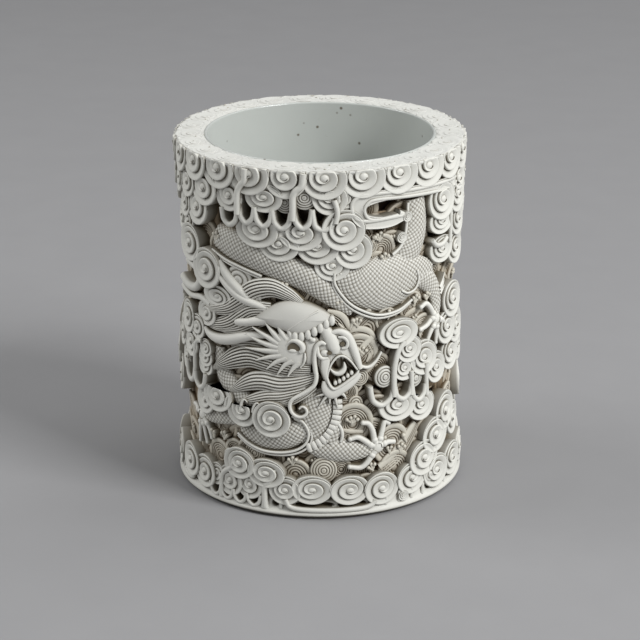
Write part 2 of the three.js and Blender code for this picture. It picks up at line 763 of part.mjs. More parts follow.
// Windows pierced through the wall, as [u, v, half width, half height].
const WINDOWS = [
  [-34.6, 111.6, 2, 2],
  [-27, 113, 2.2, 2.6],
  [-20.2, 113, 2.2, 2.6],
  [-13.4, 113, 2.2, 2.6],
  [-6, 113.4, 2.2, 2.8],
  [0.8, 113, 2.2, 2.6],
  [26.6, 115.3, 6, 1.6],
  [49.5, 99.4, 2.6, 1.4],
  [63, 97, 2.6, 1.6],
  [-43.6, 109.4, 3, 4.6],
  [-58, 83.2, 2.6, 2],
  [-59, 46.4, 2, 2],
  [-52, 46.4, 2, 2],
  [-60, 30, 3.4, 3.6],
  [23.4, 46.6, 2.4, 1.8],
  [31.6, 46.6, 2.2, 1.8],
  [39.6, 45.4, 1.8, 1.6],
  [53, 39.4, 3.6, 2],
  [60, 19.4, 3.4, 1.6],
  ...[0, 1, 2, 3].map((i) => [BACK_MIDDLE + 7.6 + 7.2 * i, 113, 2.2, 2.6]),
];

function windowCutter([u, v, halfWidth, halfHeight]) {
  const reach = WALL_THICKNESS + CLEARANCE + WAVE_HEIGHT;
  const drill = button([[0, -reach], [1, -reach], [1, reach], [0, reach]], WINDOW_SIDES);
  return solidOf(press(drill, u, v, halfWidth, halfHeight));
}

// Relief pieces, from the front-most to the rear-most: each is cut round those before it.
const RELIEF = [
  ["cloud_rim_row", RIM_ROW],
  ["cloud_sprig_left", SPRIG_LEFT],
  ["cloud_sprig_right", SPRIG_RIGHT],
  ["cloud_base_row", BASE_ROW],
  ["cloud_arcade_top", ARCADE_TOP],
  ["cloud_bank_top", BANK_TOP],
  ["cloud_strap", STRAP],
  ["cloud_bank_left_top", BANK_LEFT_TOP],
  ["cloud_bank_left_upper", BANK_LEFT_UPPER],
  ["cloud_bank_left_lower", BANK_LEFT_LOWER],
  ["dragon_horn_upper", HORN_UPPER],
  ["dragon_horn_lower", HORN_LOWER],
  ["cloud_bank_left_middle", BANK_LEFT_MIDDLE],
  ["cloud_bank_right_top", BANK_RIGHT_TOP],
  ["cloud_bank_right_middle", BANK_RIGHT_MIDDLE],
  ["cloud_bank_right_far", BANK_RIGHT_FAR],
  ["cloud_scrolls_right", SCROLLS_RIGHT],
  ["cloud_arcade_back", ARCADE_BACK],
  ["cloud_bank_back_top", BANK_BACK_TOP],
  ["cloud_bank_back_right", BANK_BACK_RIGHT],
  ["cloud_bank_back_low", BANK_BACK_LOW],
  ["cloud_bank_back_side", BANK_BACK_SIDE],
  ["cloud_scrolls_back", SCROLLS_BACK],
  ["cloud_scrolls_back_right", SCROLLS_BACK_RIGHT],
  ["dragon_whisker_left", WHISKER_LEFT],
  ["dragon_whisker_right", WHISKER_RIGHT],
  ["dragon_snout", SNOUT],
  ["dragon_jaw", JAW],
  ["dragon_tongue", TONGUE],
  ["dragon_beard", BEARD],
  ["dragon_forehead", FOREHEAD],
  ["dragon_eye_plate", EYE_PLATE],
  ["dragon_mouth", MOUTH],
  ...MANE_LOCKS.map((shapes, i) => [`dragon_mane_lock_${i + 1}`, shapes]),
  ["dragon_forepaw", FOREPAW],
  ["dragon_foreleg", FORELEG],
  ["dragon_far_paw", FAR_PAW],
  ["dragon_shoulder", SHOULDER],
  ["dragon_far_foreleg", FAR_FORELEG],
  ["dragon_chest", CHEST],
  ["dragon_neck", NECK],
  ["dragon_hind_paw", HIND_PAW],
  ["dragon_haunch", HAUNCH],
  ["dragon_hind_leg", HIND_LEG],
  ["dragon_rising_body", RISING_BODY],
  ["dragon_back_coil", BACK_COIL],
  ["dragon_loin", LOIN],
  ["dragon_rear_paw", REAR_PAW],
  ["dragon_rear_leg", REAR_LEG],
  ["dragon_tail_root", TAIL_ROOT],
  ["dragon_tail_tip", TAIL_TIP],
  ["dragon_tail_tuft", TAIL_TUFT],
];

function reliefSolid(shapes, clearance) {
  return union(shapes.map((shape) => solidOf(shape(clearance))));
}

// The relief fills the space round the wall, from the foot up to the rim's flat top.
function reliefSpace() {
  const block = new THREE.BoxGeometry(3 * OUTER_RADIUS, 3 * OUTER_RADIUS, HEIGHT - WALL_BOTTOM);
  const core = turned(
    [[0, 0], [SEAT_RADIUS, 0], [SEAT_RADIUS, 2 * HEIGHT], [0, 2 * HEIGHT]],
    TURNED_SIDES,
  );
  return solidOf(block.translate(0, 0, (HEIGHT + WALL_BOTTOM) / 2)).subtract(core);
}

function carveRelief() {
  const space = reliefSpace();
  const carved = [];
  let cutter = null;
  for (const [name, shapes] of RELIEF) {
    const whole = reliefSolid(shapes, 0).intersect(space);
    carved.push([name, mainBody(cutter ? whole.subtract(cutter) : whole)]);
    const own = reliefSolid(shapes, CLEARANCE);
    cutter = cutter ? cutter.add(own) : own;
  }
  return { carved, cutter };
}

// The turned pieces

function linerSolid() {
  const bottom = WALL_BOTTOM;
  const top = WALL_TOP;
  const inside = bottom + FLOOR_THICKNESS;
  return turned(
    [
      [0, bottom],
      [LINER_RADIUS - LINER_BEVEL, bottom],
      [LINER_RADIUS, bottom + LINER_BEVEL],
      [LINER_RADIUS, top],
      [LINER_BORE_RADIUS, top],
      [LINER_BORE_RADIUS, inside + FLOOR_COVE],
      [LINER_BORE_RADIUS - FLOOR_COVE, inside],
      [0, inside],
    ],
    TURNED_SIDES,
  );
}

function footSolid() {
  return turned(
    [
      [FOOT_BORE_RADIUS, 0],
      [OUTER_RADIUS - FOOT_CHAMFER, 0],
      [OUTER_RADIUS, FOOT_CHAMFER],
      [OUTER_RADIUS, FOOT_HEIGHT],
      [FOOT_BORE_RADIUS - FOOT_CHAMFER, FOOT_HEIGHT],
    ],
    TURNED_SIDES,
  );
}

function rimSolid() {
  return turned(
    [
      [LINER_BORE_RADIUS, RIM_BOTTOM],
      [WALL_RADIUS, RIM_BOTTOM],
      [WALL_RADIUS, HEIGHT],
      [LINER_BORE_RADIUS + RIM_CHAMFER, HEIGHT],
      [LINER_BORE_RADIUS, HEIGHT - RIM_CHAMFER],
    ],
    TURNED_SIDES,
  );
}

function wallSolid(cutter) {
  const shell = turned(
    [
      [WALL_BORE_RADIUS, WALL_BOTTOM],
      [WALL_RADIUS, WALL_BOTTOM],
      [WALL_RADIUS, WALL_TOP],
      [WALL_BORE_RADIUS, WALL_TOP],
    ],
    TURNED_SIDES,
  );
  const outside = turned(
    [
      [WALL_BORE_RADIUS + CLEARANCE, WALL_BOTTOM],
      [OUTER_RADIUS, WALL_BOTTOM],
      [OUTER_RADIUS, WALL_TOP],
      [WALL_BORE_RADIUS + CLEARANCE, WALL_TOP],
    ],
    TURNED_SIDES,
  );
  const waves = reliefSolid(WAVES, 0).intersect(outside).subtract(cutter);
  const windows = union(WINDOWS.map(windowCutter));
  return mainBody(shell.add(waves).subtract(windows));
}

// The whole pot

const pot = new THREE.Group();
const { carved, cutter } = carveRelief();
pot.add(meshOf("vessel_liner", linerSolid(), GLAZE));
pot.add(meshOf("foot_ring", footSolid(), PORCELAIN));
pot.add(meshOf("rim_ring", rimSolid(), PORCELAIN));
pot.add(meshOf("pierced_wall", wallSolid(cutter), STAINED));
for (const [name, solid] of carved) pot.add(meshOf(name, solid, PORCELAIN));

export default pot;
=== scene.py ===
"""Looks of a carved porcelain brush pot: its clouds, waves and dragon in fine relief.

The relief is drawn on a flat sheet, the unrolled outside of the pot, in millimetres:
u runs round to the right from the middle of the front, v runs up from the foot,
and h is the height above the seat that the relief is luted to.
"""
import math

import bpy
import bmesh
import mathutils
import numpy as np
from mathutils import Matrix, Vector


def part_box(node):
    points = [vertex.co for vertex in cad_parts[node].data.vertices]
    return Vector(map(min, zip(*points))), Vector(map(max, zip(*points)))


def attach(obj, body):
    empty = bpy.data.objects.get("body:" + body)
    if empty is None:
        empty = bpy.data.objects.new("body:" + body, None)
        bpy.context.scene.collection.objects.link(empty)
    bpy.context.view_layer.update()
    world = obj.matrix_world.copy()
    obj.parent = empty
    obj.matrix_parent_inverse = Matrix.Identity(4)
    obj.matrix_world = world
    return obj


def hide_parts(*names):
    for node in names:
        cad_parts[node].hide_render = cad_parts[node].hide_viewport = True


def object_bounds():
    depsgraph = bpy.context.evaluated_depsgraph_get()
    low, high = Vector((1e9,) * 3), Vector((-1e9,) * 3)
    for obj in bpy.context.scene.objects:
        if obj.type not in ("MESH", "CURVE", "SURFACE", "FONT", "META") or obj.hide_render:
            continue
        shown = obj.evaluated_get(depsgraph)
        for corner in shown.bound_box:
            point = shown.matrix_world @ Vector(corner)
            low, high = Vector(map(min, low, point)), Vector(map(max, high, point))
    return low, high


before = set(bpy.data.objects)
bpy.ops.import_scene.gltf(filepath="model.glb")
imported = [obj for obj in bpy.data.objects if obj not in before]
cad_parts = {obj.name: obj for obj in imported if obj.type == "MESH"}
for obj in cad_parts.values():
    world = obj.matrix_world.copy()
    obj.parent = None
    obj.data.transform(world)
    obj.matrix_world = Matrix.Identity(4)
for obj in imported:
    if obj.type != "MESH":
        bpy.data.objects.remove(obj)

CAD_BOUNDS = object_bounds()

MM = 0.001


def box_of(node):
    """The lowest and highest corners of a CAD node, in millimetres, to a tenth."""
    return [[round(value / MM, 1) for value in corner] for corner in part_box(node)]


# Sizes of the pot, in millimetres
HEIGHT = round(CAD_BOUNDS[1][2] / MM, 1)
SHEET_RADIUS = round(CAD_BOUNDS[1][0] / MM, 1)
SEAT_RADIUS = 47.8
BORE_RADIUS = 40.8
LINER_RADIUS = box_of("vessel_liner")[1][0]
COLLAR_RADIUS = 42.0
WALL_INNER = 45.3
WALL_OUTER = 47.4
WALL_BOTTOM = box_of("pierced_wall")[0][2]
RIM_BOTTOM = box_of("rim_ring")[0][2]
FOOT_HEIGHT = box_of("foot_ring")[1][2]
FOOT_BORE = 36.0
FOOT_RADIUS = 52.9
FLOOR_LEVEL = 7.8
SEAM = 0.3
GIRTH = 2 * math.pi * SHEET_RADIUS
BACK = GIRTH / 2

# How deep relief is sunk into its seat, and how far up the pot the sea begins
SUNK = -0.6
SEA_BOTTOM = 3.6

# The camera, in metres and degrees; its lens and sensor are in millimetres
CAMERA_PLACE = (0.0, -0.8630, 0.3667)
CAMERA_PITCH = 19.71
CAMERA_LENS = 138.8
CAMERA_SENSOR = 36

# The studio: lamps by name, place, size and power, in metres and watts
LAMPS = [
    ("key", (1.21, -0.88, 1.23), 0.7, 31.5),
    ("fill", (-0.95, 0.1, 0.8), 0.6, 5.4),
    ("top", (0.8, 0.4, 1.5), 1.2, 8.5),
]
LAMP_TARGET = (0, 0, 0.06)
STUDIO_GREY = 0.31
FLOOR_DARK = (0.268, 0.268, 0.274)
FLOOR_LIGHT = (0.276, 0.276, 0.282)
FLOOR_REACH = 6.0
# The floor fades into the backdrop's grey between these distances, in metres
FLOOR_NEAR = 1.0
FLOOR_FAR = 2.4

rng = np.random.default_rng(7)


# Mesh making

class Clay:
    """Closed shapes gathered into one mesh, each vertex with a painted shade from 0 to 1, for grooves,
    hollows and the feet of shapes.
    """

    def __init__(self, spread=None, low=SUNK):
        self.spread = spread or place
        self.low = low
        self.points = []
        self.painted_shades = []
        self.quads = []
        self.tris = []
        self.count = 0

    def add(self, points, painted_shades, quads, tris):
        """Adds one closed shape and turns its faces outward."""
        a, b, c, d = (points[quads[:, i]] for i in range(4))
        volume = np.einsum("ij,ij->", a, np.cross(b, c)) + np.einsum("ij,ij->", a, np.cross(c, d))
        if len(tris):
            a, b, c = (points[tris[:, i]] for i in range(3))
            volume += np.einsum("ij,ij->", a, np.cross(b, c))
        if volume < 0:
            quads = quads[:, ::-1]
            tris = tris[:, ::-1]
        self.points.append(points)
        self.painted_shades.append(painted_shades)
        self.quads.append(quads + self.count)
        self.tris.append(tris + self.count)
        self.count += len(points)

    def skin(self, points, painted_shades):
        """A closed skin over rings of points, shaped (rings, points in a ring, 3)."""
        rings, count = points.shape[:2]
        index = np.arange(rings * count).reshape(rings, count)
        after = np.roll(index, -1, axis=1)
        quads = np.stack([index[:-1], after[:-1], after[1:], index[1:]], axis=-1).reshape(-1, 4)
        first = rings * count
        last = first + 1
        start = np.stack([np.full(count, first), after[0], index[0]], axis=-1)
        end = np.stack([np.full(count, last), index[-1], after[-1]], axis=-1)
        flat = points.reshape(-1, 3)
        middles = np.stack([points[0].mean(axis=0), points[-1].mean(axis=0)])
        painted_shade = painted_shades.reshape(-1)
        ends = [painted_shades[0].mean(), painted_shades[-1].mean()]
        self.add(np.vstack([flat, middles]), np.append(painted_shade, ends), quads, np.vstack([start, end]))

    def build(self, name, material, slot, nodes=(), sharp=48):
        """Makes the gathered shapes one object, which stands for its CAD nodes."""
        points = np.vstack(self.points)
        quads = np.vstack(self.quads)
        tris = np.vstack(self.tris)
        mesh = bpy.data.meshes.new(name)
        mesh.vertices.add(len(points))
        mesh.vertices.foreach_set("co", points.astype(np.float32).ravel())
        mesh.loops.add(quads.size + tris.size)
        corners = np.concatenate([quads.ravel(), tris.ravel()]).astype(np.int32)
        mesh.loops.foreach_set("vertex_index", corners)
        mesh.polygons.add(len(quads) + len(tris))
        starts = np.concatenate([np.arange(len(quads)) * 4, quads.size + np.arange(len(tris)) * 3])
        mesh.polygons.foreach_set("loop_start", starts.astype(np.int32))
        mesh.update(calc_edges=True)
        # Painted shade per vertex: 1 in grooves, pits and at the feet of shapes, which the materials
        # darken
        painted_shade = mesh.attributes.new("painted_shade", "FLOAT", "POINT")
        painted_shade.data.foreach_set("value", np.concatenate(self.painted_shades).astype(np.float32))
        mesh.shade_smooth()
        mesh.set_sharp_from_angle(angle=math.radians(sharp))
        mesh.materials.append(material)
        piece = bpy.data.objects.new(name, mesh)
        bpy.context.scene.collection.objects.link(piece)
        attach(piece, "root")
        if nodes:
            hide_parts(*nodes)
        return piece

    def stand_for(self, node, material):
        """Makes the gathered shapes the carved form of one CAD node."""
        return self.build(node + "_carved", material, "biscuit_porcelain", [node])


def place(u, v, h):
    """Puts points of the sheet round the pot, in metres."""
    angle = u / SHEET_RADIUS
    radius = SEAT_RADIUS + h
    return np.stack([radius * np.sin(angle), -radius * np.cos(angle), v + 0 * u], axis=-1) * MM


def behind(points):
    """Points of the sheet from points whose u runs from the middle of the back."""
    return [(BACK + u, *rest) for u, *rest in points]


def smooth(points, step):
    """Rows on a smooth curve through the given rows, evenly spaced along the first two columns."""
    rows = np.array(points, float)
    rows = np.vstack([2 * rows[0] - rows[1], rows, 2 * rows[-1] - rows[-2]])
    fine = []
    share = np.linspace(0, 1, 16, endpoint=False)[:, None]
    for a, b, c, d in zip(rows, rows[1:], rows[2:], rows[3:]):
        bend = 2 * a - 5 * b + 4 * c - d
        swing = 3 * b - a - 3 * c + d
        fine.append(0.5 * (2 * b + (c - a) * share + bend * share ** 2 + swing * share ** 3))
    fine = np.vstack(fine + [rows[-2:-1]])
    run = np.concatenate([[0], np.cumsum(np.hypot(*np.diff(fine[:, :2], axis=0).T))])
    stops = np.linspace(0, run[-1], max(3, int(run[-1] / step) + 1))
    return np.stack([np.interp(stops, run, column) for column in fine.T], axis=-1)


# Shapes of the relief

def round_section():
    """Half a round, as rows of share of the half width, drop below the top, painted shade."""
    angle = np.linspace(0, math.pi, 9)
    return np.stack([np.cos(angle), 1 - np.sin(angle), 0.75 * (1 - np.sin(angle)) ** 2], axis=-1)


# The mane: points across a strand, and the drops of a lock's crown and of the cuts between strands
STRAND_POINTS = 5
LOCK_CROWN = 0.35
STRAND_CUT = 0.25


def comb_section(strands):
    """Strands combed side by side over a low crown."""
    count = strands * STRAND_POINTS + 1
    share = np.linspace(1, -1, count)
    ridge = np.abs(np.sin(np.linspace(0, strands * math.pi, count)))
    drop = LOCK_CROWN * share ** 2 + STRAND_CUT * (1 - ridge ** 0.6)
    return np.stack([share, drop, (1 - ridge) ** 1.1], axis=-1)


ROUND = round_section()

# A flat band with a lip on each side, from its left edge to its middle and back
GUTTER_HALF = [
    (1, 0.3, 0.6), (0.97, 0.04, 0), (0.9, 0, 0), (0.82, 0.06, 0.1), (0.6, 0.17, 0.1), (0.2, 0.2, 0),
]
GUTTER = np.array(GUTTER_HALF + [(-share, drop, painted_shade) for share, drop, painted_shade in reversed(GUTTER_HALF)])
# The thinnest half width that a sweep keeps
THINNEST = 0.12


def headings(path):
    """The direction at each point of a path, as unit steps of u and v."""
    along = np.gradient(path[:, :2], axis=0)
    return along / np.linalg.norm(along, axis=1)[:, None]


def beside(path, across):
    """Places to the right of each point of a path, as arrays of u and v."""
    along = headings(path)
    return path[:, :1] + along[:, 1:] * across, path[:, 1:2] - along[:, :1] * across


def edged(rows, value):
    """Rows with one more column of a value on each side."""
    edge = np.full((len(rows), 1), value)
    return np.concatenate([edge, rows, edge], axis=1)


def sweep(clay, points, section=ROUND, crown=1.0, step=0.7):
    """Sweeps a section along points of (u, v, half width, top)."""
    path = smooth(points, step)
    wide = np.maximum(path[:, 2], THINNEST)[:, None]
    across = np.concatenate([[1.0], section[:, 0], [-1.0]])[None, :] * wide
    u, v = beside(path, across)
    surface = path[:, 3:4] - crown * wide * section[None, :, 1]
    h = np.maximum(edged(surface, clay.low), clay.low)
    painted_shade = np.concatenate([[1.0], section[:, 2], [1.0]])[None, :] + 0 * h
    clay.skin(clay.spread(u, v, h), painted_shade)


def cord(clay, half, top, points, step=0.7):
    """A cord of one width and height."""
    sweep(clay, [(u, v, half, top) for u, v in points], step=step)


def spike(clay, root, top, points, tip_drop=0.6, step=0.7, taper=0.88):
    """A tapered point, from its root to its tip."""
    last = len(points) - 1
    rows = []
    for i, (u, v) in enumerate(points):
        rows.append((u, v, root * (1 - taper * i / last), top - tip_drop * i / last))
    sweep(clay, rows, step=step)


def ring_points(u, v, wide, tall, count):
    """A ring of points round a place on the sheet."""
    angle = np.linspace(0, 2 * math.pi, count, endpoint=False)
    return np.stack([u + wide * np.cos(angle), v + tall * np.sin(angle)], axis=-1)


def pad(clay, outline, centre, rows, tilt=(0, 0)):
    """A shape whose rings shrink to its centre: rows of share of the outline, height, painted shade."""
    outline = np.asarray(outline, float)
    shares, heights, painted_shades = np.array(rows, float).T
    reach = outline[None] - np.array(centre)
    u = centre[0] + shares[:, None] * reach[:, :, 0]
    v = centre[1] + shares[:, None] * reach[:, :, 1]
    lean = tilt[0] * (u - centre[0]) + tilt[1] * (v - centre[1])
    h = heights[:, None] + np.where(heights[:, None] > SUNK, lean, 0)
    if clay.low > SUNK:
        h = np.maximum(h, clay.low)
    clay.skin(clay.spread(u, v, h), painted_shades[:, None] + 0 * h)


def dome_rows(top, crown, edge=0.0, steps=8):
    """Rows of a dome over its outline, which stands on a straight edge."""
    share = np.cos(np.linspace(0, 0.47 * math.pi, steps))
    rows = [(1, SUNK, 1)]
    for s in share:
        fall = math.sqrt(max(0, 1 - s * s))
        rows.append((s, top - crown * (1 - fall) - edge * (s > 0.99), 0.6 * s ** 8))
    return rows


def bead(clay, u, v, wide, tall, top, crown=None, count=14):
    """A small round button."""
    crown = min(wide, tall) if crown is None else crown
    pad(clay, ring_points(u, v, wide, tall, count), (u, v), dome_rows(top, crown, steps=6))


# Radius of a scroll's edge after so many turns from its knob
SPIRAL_TURNS = [0.0, 0.25, 0.6, 1.0, 1.5, 1.78, 2.0, 3.0]
SPIRAL_RADII = [0.15, 0.17, 0.45, 0.57, 0.65, 0.84, 1.0, 1.0]

# Section of a scroll's band: share from its groove to its lip, height below the lip, painted shade
SCROLL_BAND = np.array([
    (0.00, -1.00, 1.00),
    (0.06, -1.00, 0.90),
    (0.15, -0.82, 0.30),
    (0.40, -0.52, 0.05),
    (0.68, -0.20, 0.00),
    (0.84, -0.02, 0.00),
    (0.90, -0.02, 0.00),
    (0.95, -0.14, 0.00),
    (0.985, -0.50, 0.15),
    (1.00, -1.15, 0.60),
])


# Turns of the band, and shares of a scroll's smaller half size: its groove, its rise, its knob
SCROLL_TURNS = 3
SCROLL_GROOVE = 0.125
SCROLL_RISE = 0.10
KNOB = 0.225


def scroll(clay, u, v, wide, tall, top, spin=1, start=0.0, tilt=(0, 0), steps=40, relief=1.0, roof=None):
    """A cloud scroll: one band with a raised lip, wound round a knob. A roof trims its top."""
    turn = np.linspace(0, SCROLL_TURNS, SCROLL_TURNS * steps + 1)
    soft = np.linspace(-0.12, 0.12, 9)
    edge = np.mean([np.interp(turn + s, SPIRAL_TURNS, SPIRAL_RADII) for s in soft], axis=0)
    before = np.mean([np.interp(turn - 1 + s, SPIRAL_TURNS, SPIRAL_RADII) for s in soft], axis=0)
    inner = np.where(turn < 1, np.minimum(before, 0.13), before - 0.01)[:, None]
    outer = edge[:, None]
    width = np.maximum(outer - inner, 0.02)
    depth = SCROLL_GROOVE * relief * min(wide, tall) * np.minimum(1, width / 0.3)
    share = np.concatenate([[0.0], SCROLL_BAND[:, 0], [1.0]])[None, :]
    radius = inner + share * width
    angle = (math.radians(start) - spin * 2 * math.pi * turn)[:, None]
    x = radius * np.cos(angle) * wide
    y = radius * np.sin(angle) * tall
    cone = SCROLL_RISE * relief * min(wide, tall) * (1 - outer)
    lip = top + cone + depth * SCROLL_BAND[None, :, 1] + tilt[0] * x[:, 1:-1] + tilt[1] * y[:, 1:-1]
    h = edged(lip, clay.low)
    painted_shade = np.concatenate([[1.0], SCROLL_BAND[:, 2], [1.0]])[None, :] + 0 * h
    y_at = v + y if roof is None else np.minimum(v + y, roof)
    clay.skin(clay.spread(u + x, y_at, h), painted_shade)
    size = relief * min(wide, tall)
    bead(clay, u, v, KNOB * wide, KNOB * tall, top + 0.06 * size, 0.15 * size, 16)


# Section of one raised ring: share of its width, height, painted shade
RING_SECTION = [(0.0, -0.5, 0.9), (0.2, -0.1, 0.1), (0.45, 0, 0), (0.75, -0.12, 0.3)]


def rings(clay, u, v, wide, tall, top, count, crown=1.0):
    """A disc of raised rings, one inside the other."""
    rows = [(1, SUNK - 1, 1)]
    for ring in range(count):
        outer = 1 - ring / count
        inner = 1 - (ring + 1) / count
        for part, height, painted_shade in RING_SECTION:
            share = outer + (inner - outer) * part
            rows.append((share, top + 0.8 * height - crown * share ** 2, painted_shade))
    rows.append((0.04, top, 0.2))
    pad(clay, ring_points(u, v, wide, tall, 30), (u, v), rows)


# A wave fan's section: share of its radius, height, painted shade. The broad outer band is plain.
FAN_EDGE = [
    (1.0, -1.1, 1.0), (0.995, -0.45, 0.5), (0.965, -0.08, 0.05), (0.90, 0.0, 0.0), (0.76, -0.05, 0.0),
    (0.73, -0.4, 0.8),
]
FAN_LINE = [(0.0, -0.42, 1.0), (0.22, -0.16, 0.35), (0.5, -0.03, 0.0), (0.78, -0.16, 0.35)]
# The share of its radius where a fan's lines begin, and the share that they take
LINES_FROM = 0.71
LINES_SPAN = 0.5


def wave(clay, u, v, size, top, lean, lines, tilt=0.12, steps=32):
    """A fan of water: a broad band round fine lines, which stands out at its crest."""
    rows = [(1, SUNK - 1.5, 1)]
    rows += [(share, top + height, painted_shade) for share, height, painted_shade in FAN_EDGE]
    pitch = LINES_SPAN / lines
    for line in range(lines):
        for part, height, painted_shade in FAN_LINE:
            rows.append((LINES_FROM - pitch * (line + part), top - 0.08 * line + height, painted_shade))
    last = LINES_FROM - LINES_SPAN
    rows += [(last, top - 0.75, 1.0), (last - 0.05, top - 0.55, 0.5)]
    rows += [(0.12, top - 0.4, 0.2), (0.02, top - 0.4, 0.2)]
    crest = math.radians(lean)
    outline = ring_points(u, v, size, size, steps)
    outline[:, 1] = np.maximum(outline[:, 1], SEA_BOTTOM)
    pad(clay, outline, (u, v), rows, (tilt * math.cos(crest), tilt * math.sin(crest)))


FLOW_LINES = 3
# The section of one cut line of a flow: share of its width, drop, painted shade
FLOW_LINE = [(0.1, 0.26, 0.5), (0.4, 0.1, 0.0), (0.7, 0.2, 0.4), (0.92, 0.42, 1.0)]


def flow_section():
    """Half of a band is cut in lines and half of it is plain."""
    rows = [(1.0, 0.6, 1.0)]
    pitch = 1.0 / FLOW_LINES
    for line in range(FLOW_LINES):
        start = 1.0 - pitch * line
        rows += [(start - part * pitch, fall, painted_shade) for part, fall, painted_shade in FLOW_LINE]
    rows += [
        (-0.06, 0.1, 0.2), (-0.14, 0.0, 0.0), (-0.85, 0.04, 0.0), (-0.97, 0.2, 0.2), (-1.0, 0.55, 1.0),
    ]
    return np.array(rows)


def stream(clay, points, top):
    """A band of water, half of it lined and half plain, through points of (u, v, half width)."""
    sweep(clay, [(u, v, half, top) for u, v, half in points], flow_section(), crown=0.8, step=0.6)


def drop(clay, u, v, size, lean, top):
    """A drop of foam: a round head on a tail, which points away from lean, in degrees."""
    turn = math.radians(lean)
    x, y = math.cos(turn) * size, math.sin(turn) * size
    path = [(-2.4, 0.22), (-1.5, 0.42), (-0.6, 0.46), (0.0, 0.40)]
    sweep(clay, [
        (u + k * x, v + k * y, half * size, top - 0.15 * abs(k))
        for k, half in path
    ], step=0.4)
    bead(clay, u, v, 0.66 * size, 0.66 * size, top + 0.3 * size, 0.7 * size, 12)


DROP_SPREAD = 34


def foam(clay, u, v, size, lean, top, count):
    """A spray of drops that spread from one place."""
    for i in range(count):
        turn = lean + DROP_SPREAD * (i - (count - 1) / 2)
        reach = size * (2.0 + 0.35 * (i % 2))
        x, y = reach * math.cos(math.radians(turn)), reach * math.sin(math.radians(turn))
        drop(clay, u + x, v + y, size, turn, top)


SCALE_PITCH = 1.3
SCALE_RELIEF = 0.34
SCALE_STEP = 0.245


def hide(clay, points, crown=0.55):
    """A scaly body swept along points of (u, v, half width, top)."""
    path = smooth(points, SCALE_STEP)
    run = np.concatenate([[0], np.cumsum(np.hypot(*np.diff(path[:, :2], axis=0).T))])[:, None]
    wide = np.maximum(path[:, 2:3], 0.2)
    count = max(12, int(2 * path[:, 2].max() / SCALE_STEP))
    angle = np.linspace(0, math.pi, count)[None, :]
    share = np.cos(angle) * (1 - 0.06 * np.sin(angle))
    girth = wide * (math.pi / 2 - angle) * 0.9
    a = np.abs(np.sin(math.pi * (run + girth) / SCALE_PITCH / math.sqrt(2)))
    b = np.abs(np.sin(math.pi * (run - girth) / SCALE_PITCH / math.sqrt(2)))
    pads = (a * b) ** 0.45
    surface = path[:, 3:4] - crown * wide * (1 - np.sin(angle) ** 0.8) - SCALE_RELIEF * (1 - pads)
    h = np.maximum(edged(surface, clay.low), clay.low)
    edge = np.ones_like(wide)
    u, v = beside(path, np.concatenate([edge, share + 0 * run, -edge], axis=1) * wide)
    painted_shade = edged(np.clip(1.25 * (1 - pads) ** 1.4, 0, 1), 1.0)
    clay.skin(clay.spread(u, v, h), painted_shade)


# Materials

class Shades:
    """The shader nodes of one material, with short ways to add and join them."""

    def __init__(self, name):
        self.material = bpy.data.materials.new(name)
        self.material.use_nodes = True
        self.tree = self.material.node_tree
        self.shader = self.tree.nodes["Principled BSDF"]
        self.link = self.tree.links.new

    def add(self, kind, **values):
        """Adds a node with its settings."""
        node = self.tree.nodes.new(kind)
        for key, value in values.items():
            setattr(node, key, value)
        return node

    def mix(self, factor, first, second):
        """Mixes two colours, each a socket or a plain colour, by a socket."""
        node = self.add("ShaderNodeMix", data_type="RGBA")
        self.link(factor, node.inputs["Factor"])
        for key, colour in (("A", first), ("B", second)):
            socket = [s for s in node.inputs if s.name == key and s.type == "RGBA"][0]
            if isinstance(colour, tuple):
                socket.default_value = (*colour, 1)
            else:
                self.link(colour, socket)
        return [s for s in node.outputs if s.type == "RGBA"][0]

    def radius(self):
        """The distance from the pot's axis, in metres."""
        spot = self.add("ShaderNodeNewGeometry")
        flat = self.add("ShaderNodeVectorMath", operation="MULTIPLY")
        flat.inputs[1].default_value = (1, 1, 0)
        length = self.add("ShaderNodeVectorMath", operation="LENGTH")
        self.link(spot.outputs["Position"], flat.inputs[0])
        self.link(flat.outputs["Vector"], length.inputs[0])
        return length.outputs["Value"]

    def ramp(self, source, low, high):
        """Maps a socket from low..high to 0..1, clamped."""
        node = self.add("ShaderNodeMapRange", clamp=True)
        node.inputs["From Min"].default_value = low
        node.inputs["From Max"].default_value = high
        self.link(source, node.inputs["Value"])
        return node.outputs["Result"]

    def product(self, first, second):
        """The product of a socket and a socket or number."""
        node = self.add("ShaderNodeMath", operation="MULTIPLY")
        self.link(first, node.inputs[0])
        if isinstance(second, float):
            node.inputs[1].default_value = second
        else:
            self.link(second, node.inputs[1])
        return node.outputs[0]

    def noise(self, scale, detail=4.0):
        """Noise in the pot's own space."""
        spot = self.add("ShaderNodeTexCoord")
        node = self.add("ShaderNodeTexNoise")
        node.inputs["Scale"].default_value = scale
        node.inputs["Detail"].default_value = detail
        self.link(spot.outputs["Object"], node.inputs["Vector"])
        return node.outputs["Fac"]

    def crevice(self, reach, low, high):
        """1 in narrow hollows, where ambient light is blocked, and 0 on open faces: a mask for painted
        shade.
        """
        node = self.add("ShaderNodeAmbientOcclusion", samples=8)
        node.inputs["Distance"].default_value = reach
        return self.ramp(node.outputs["AO"], high, low)


# Sizes of the noise in the clay: broad mottle, patches of stain, grain
MOTTLE_SCALE = 55.0
PATCH_SCALE = 90.0
GRAIN_SCALE = 1400.0
# How wide a hollow still gets painted shade, and how deep the grain is, in metres
CREVICE_REACH = 0.0034
GRAIN_DEPTH = 0.0003


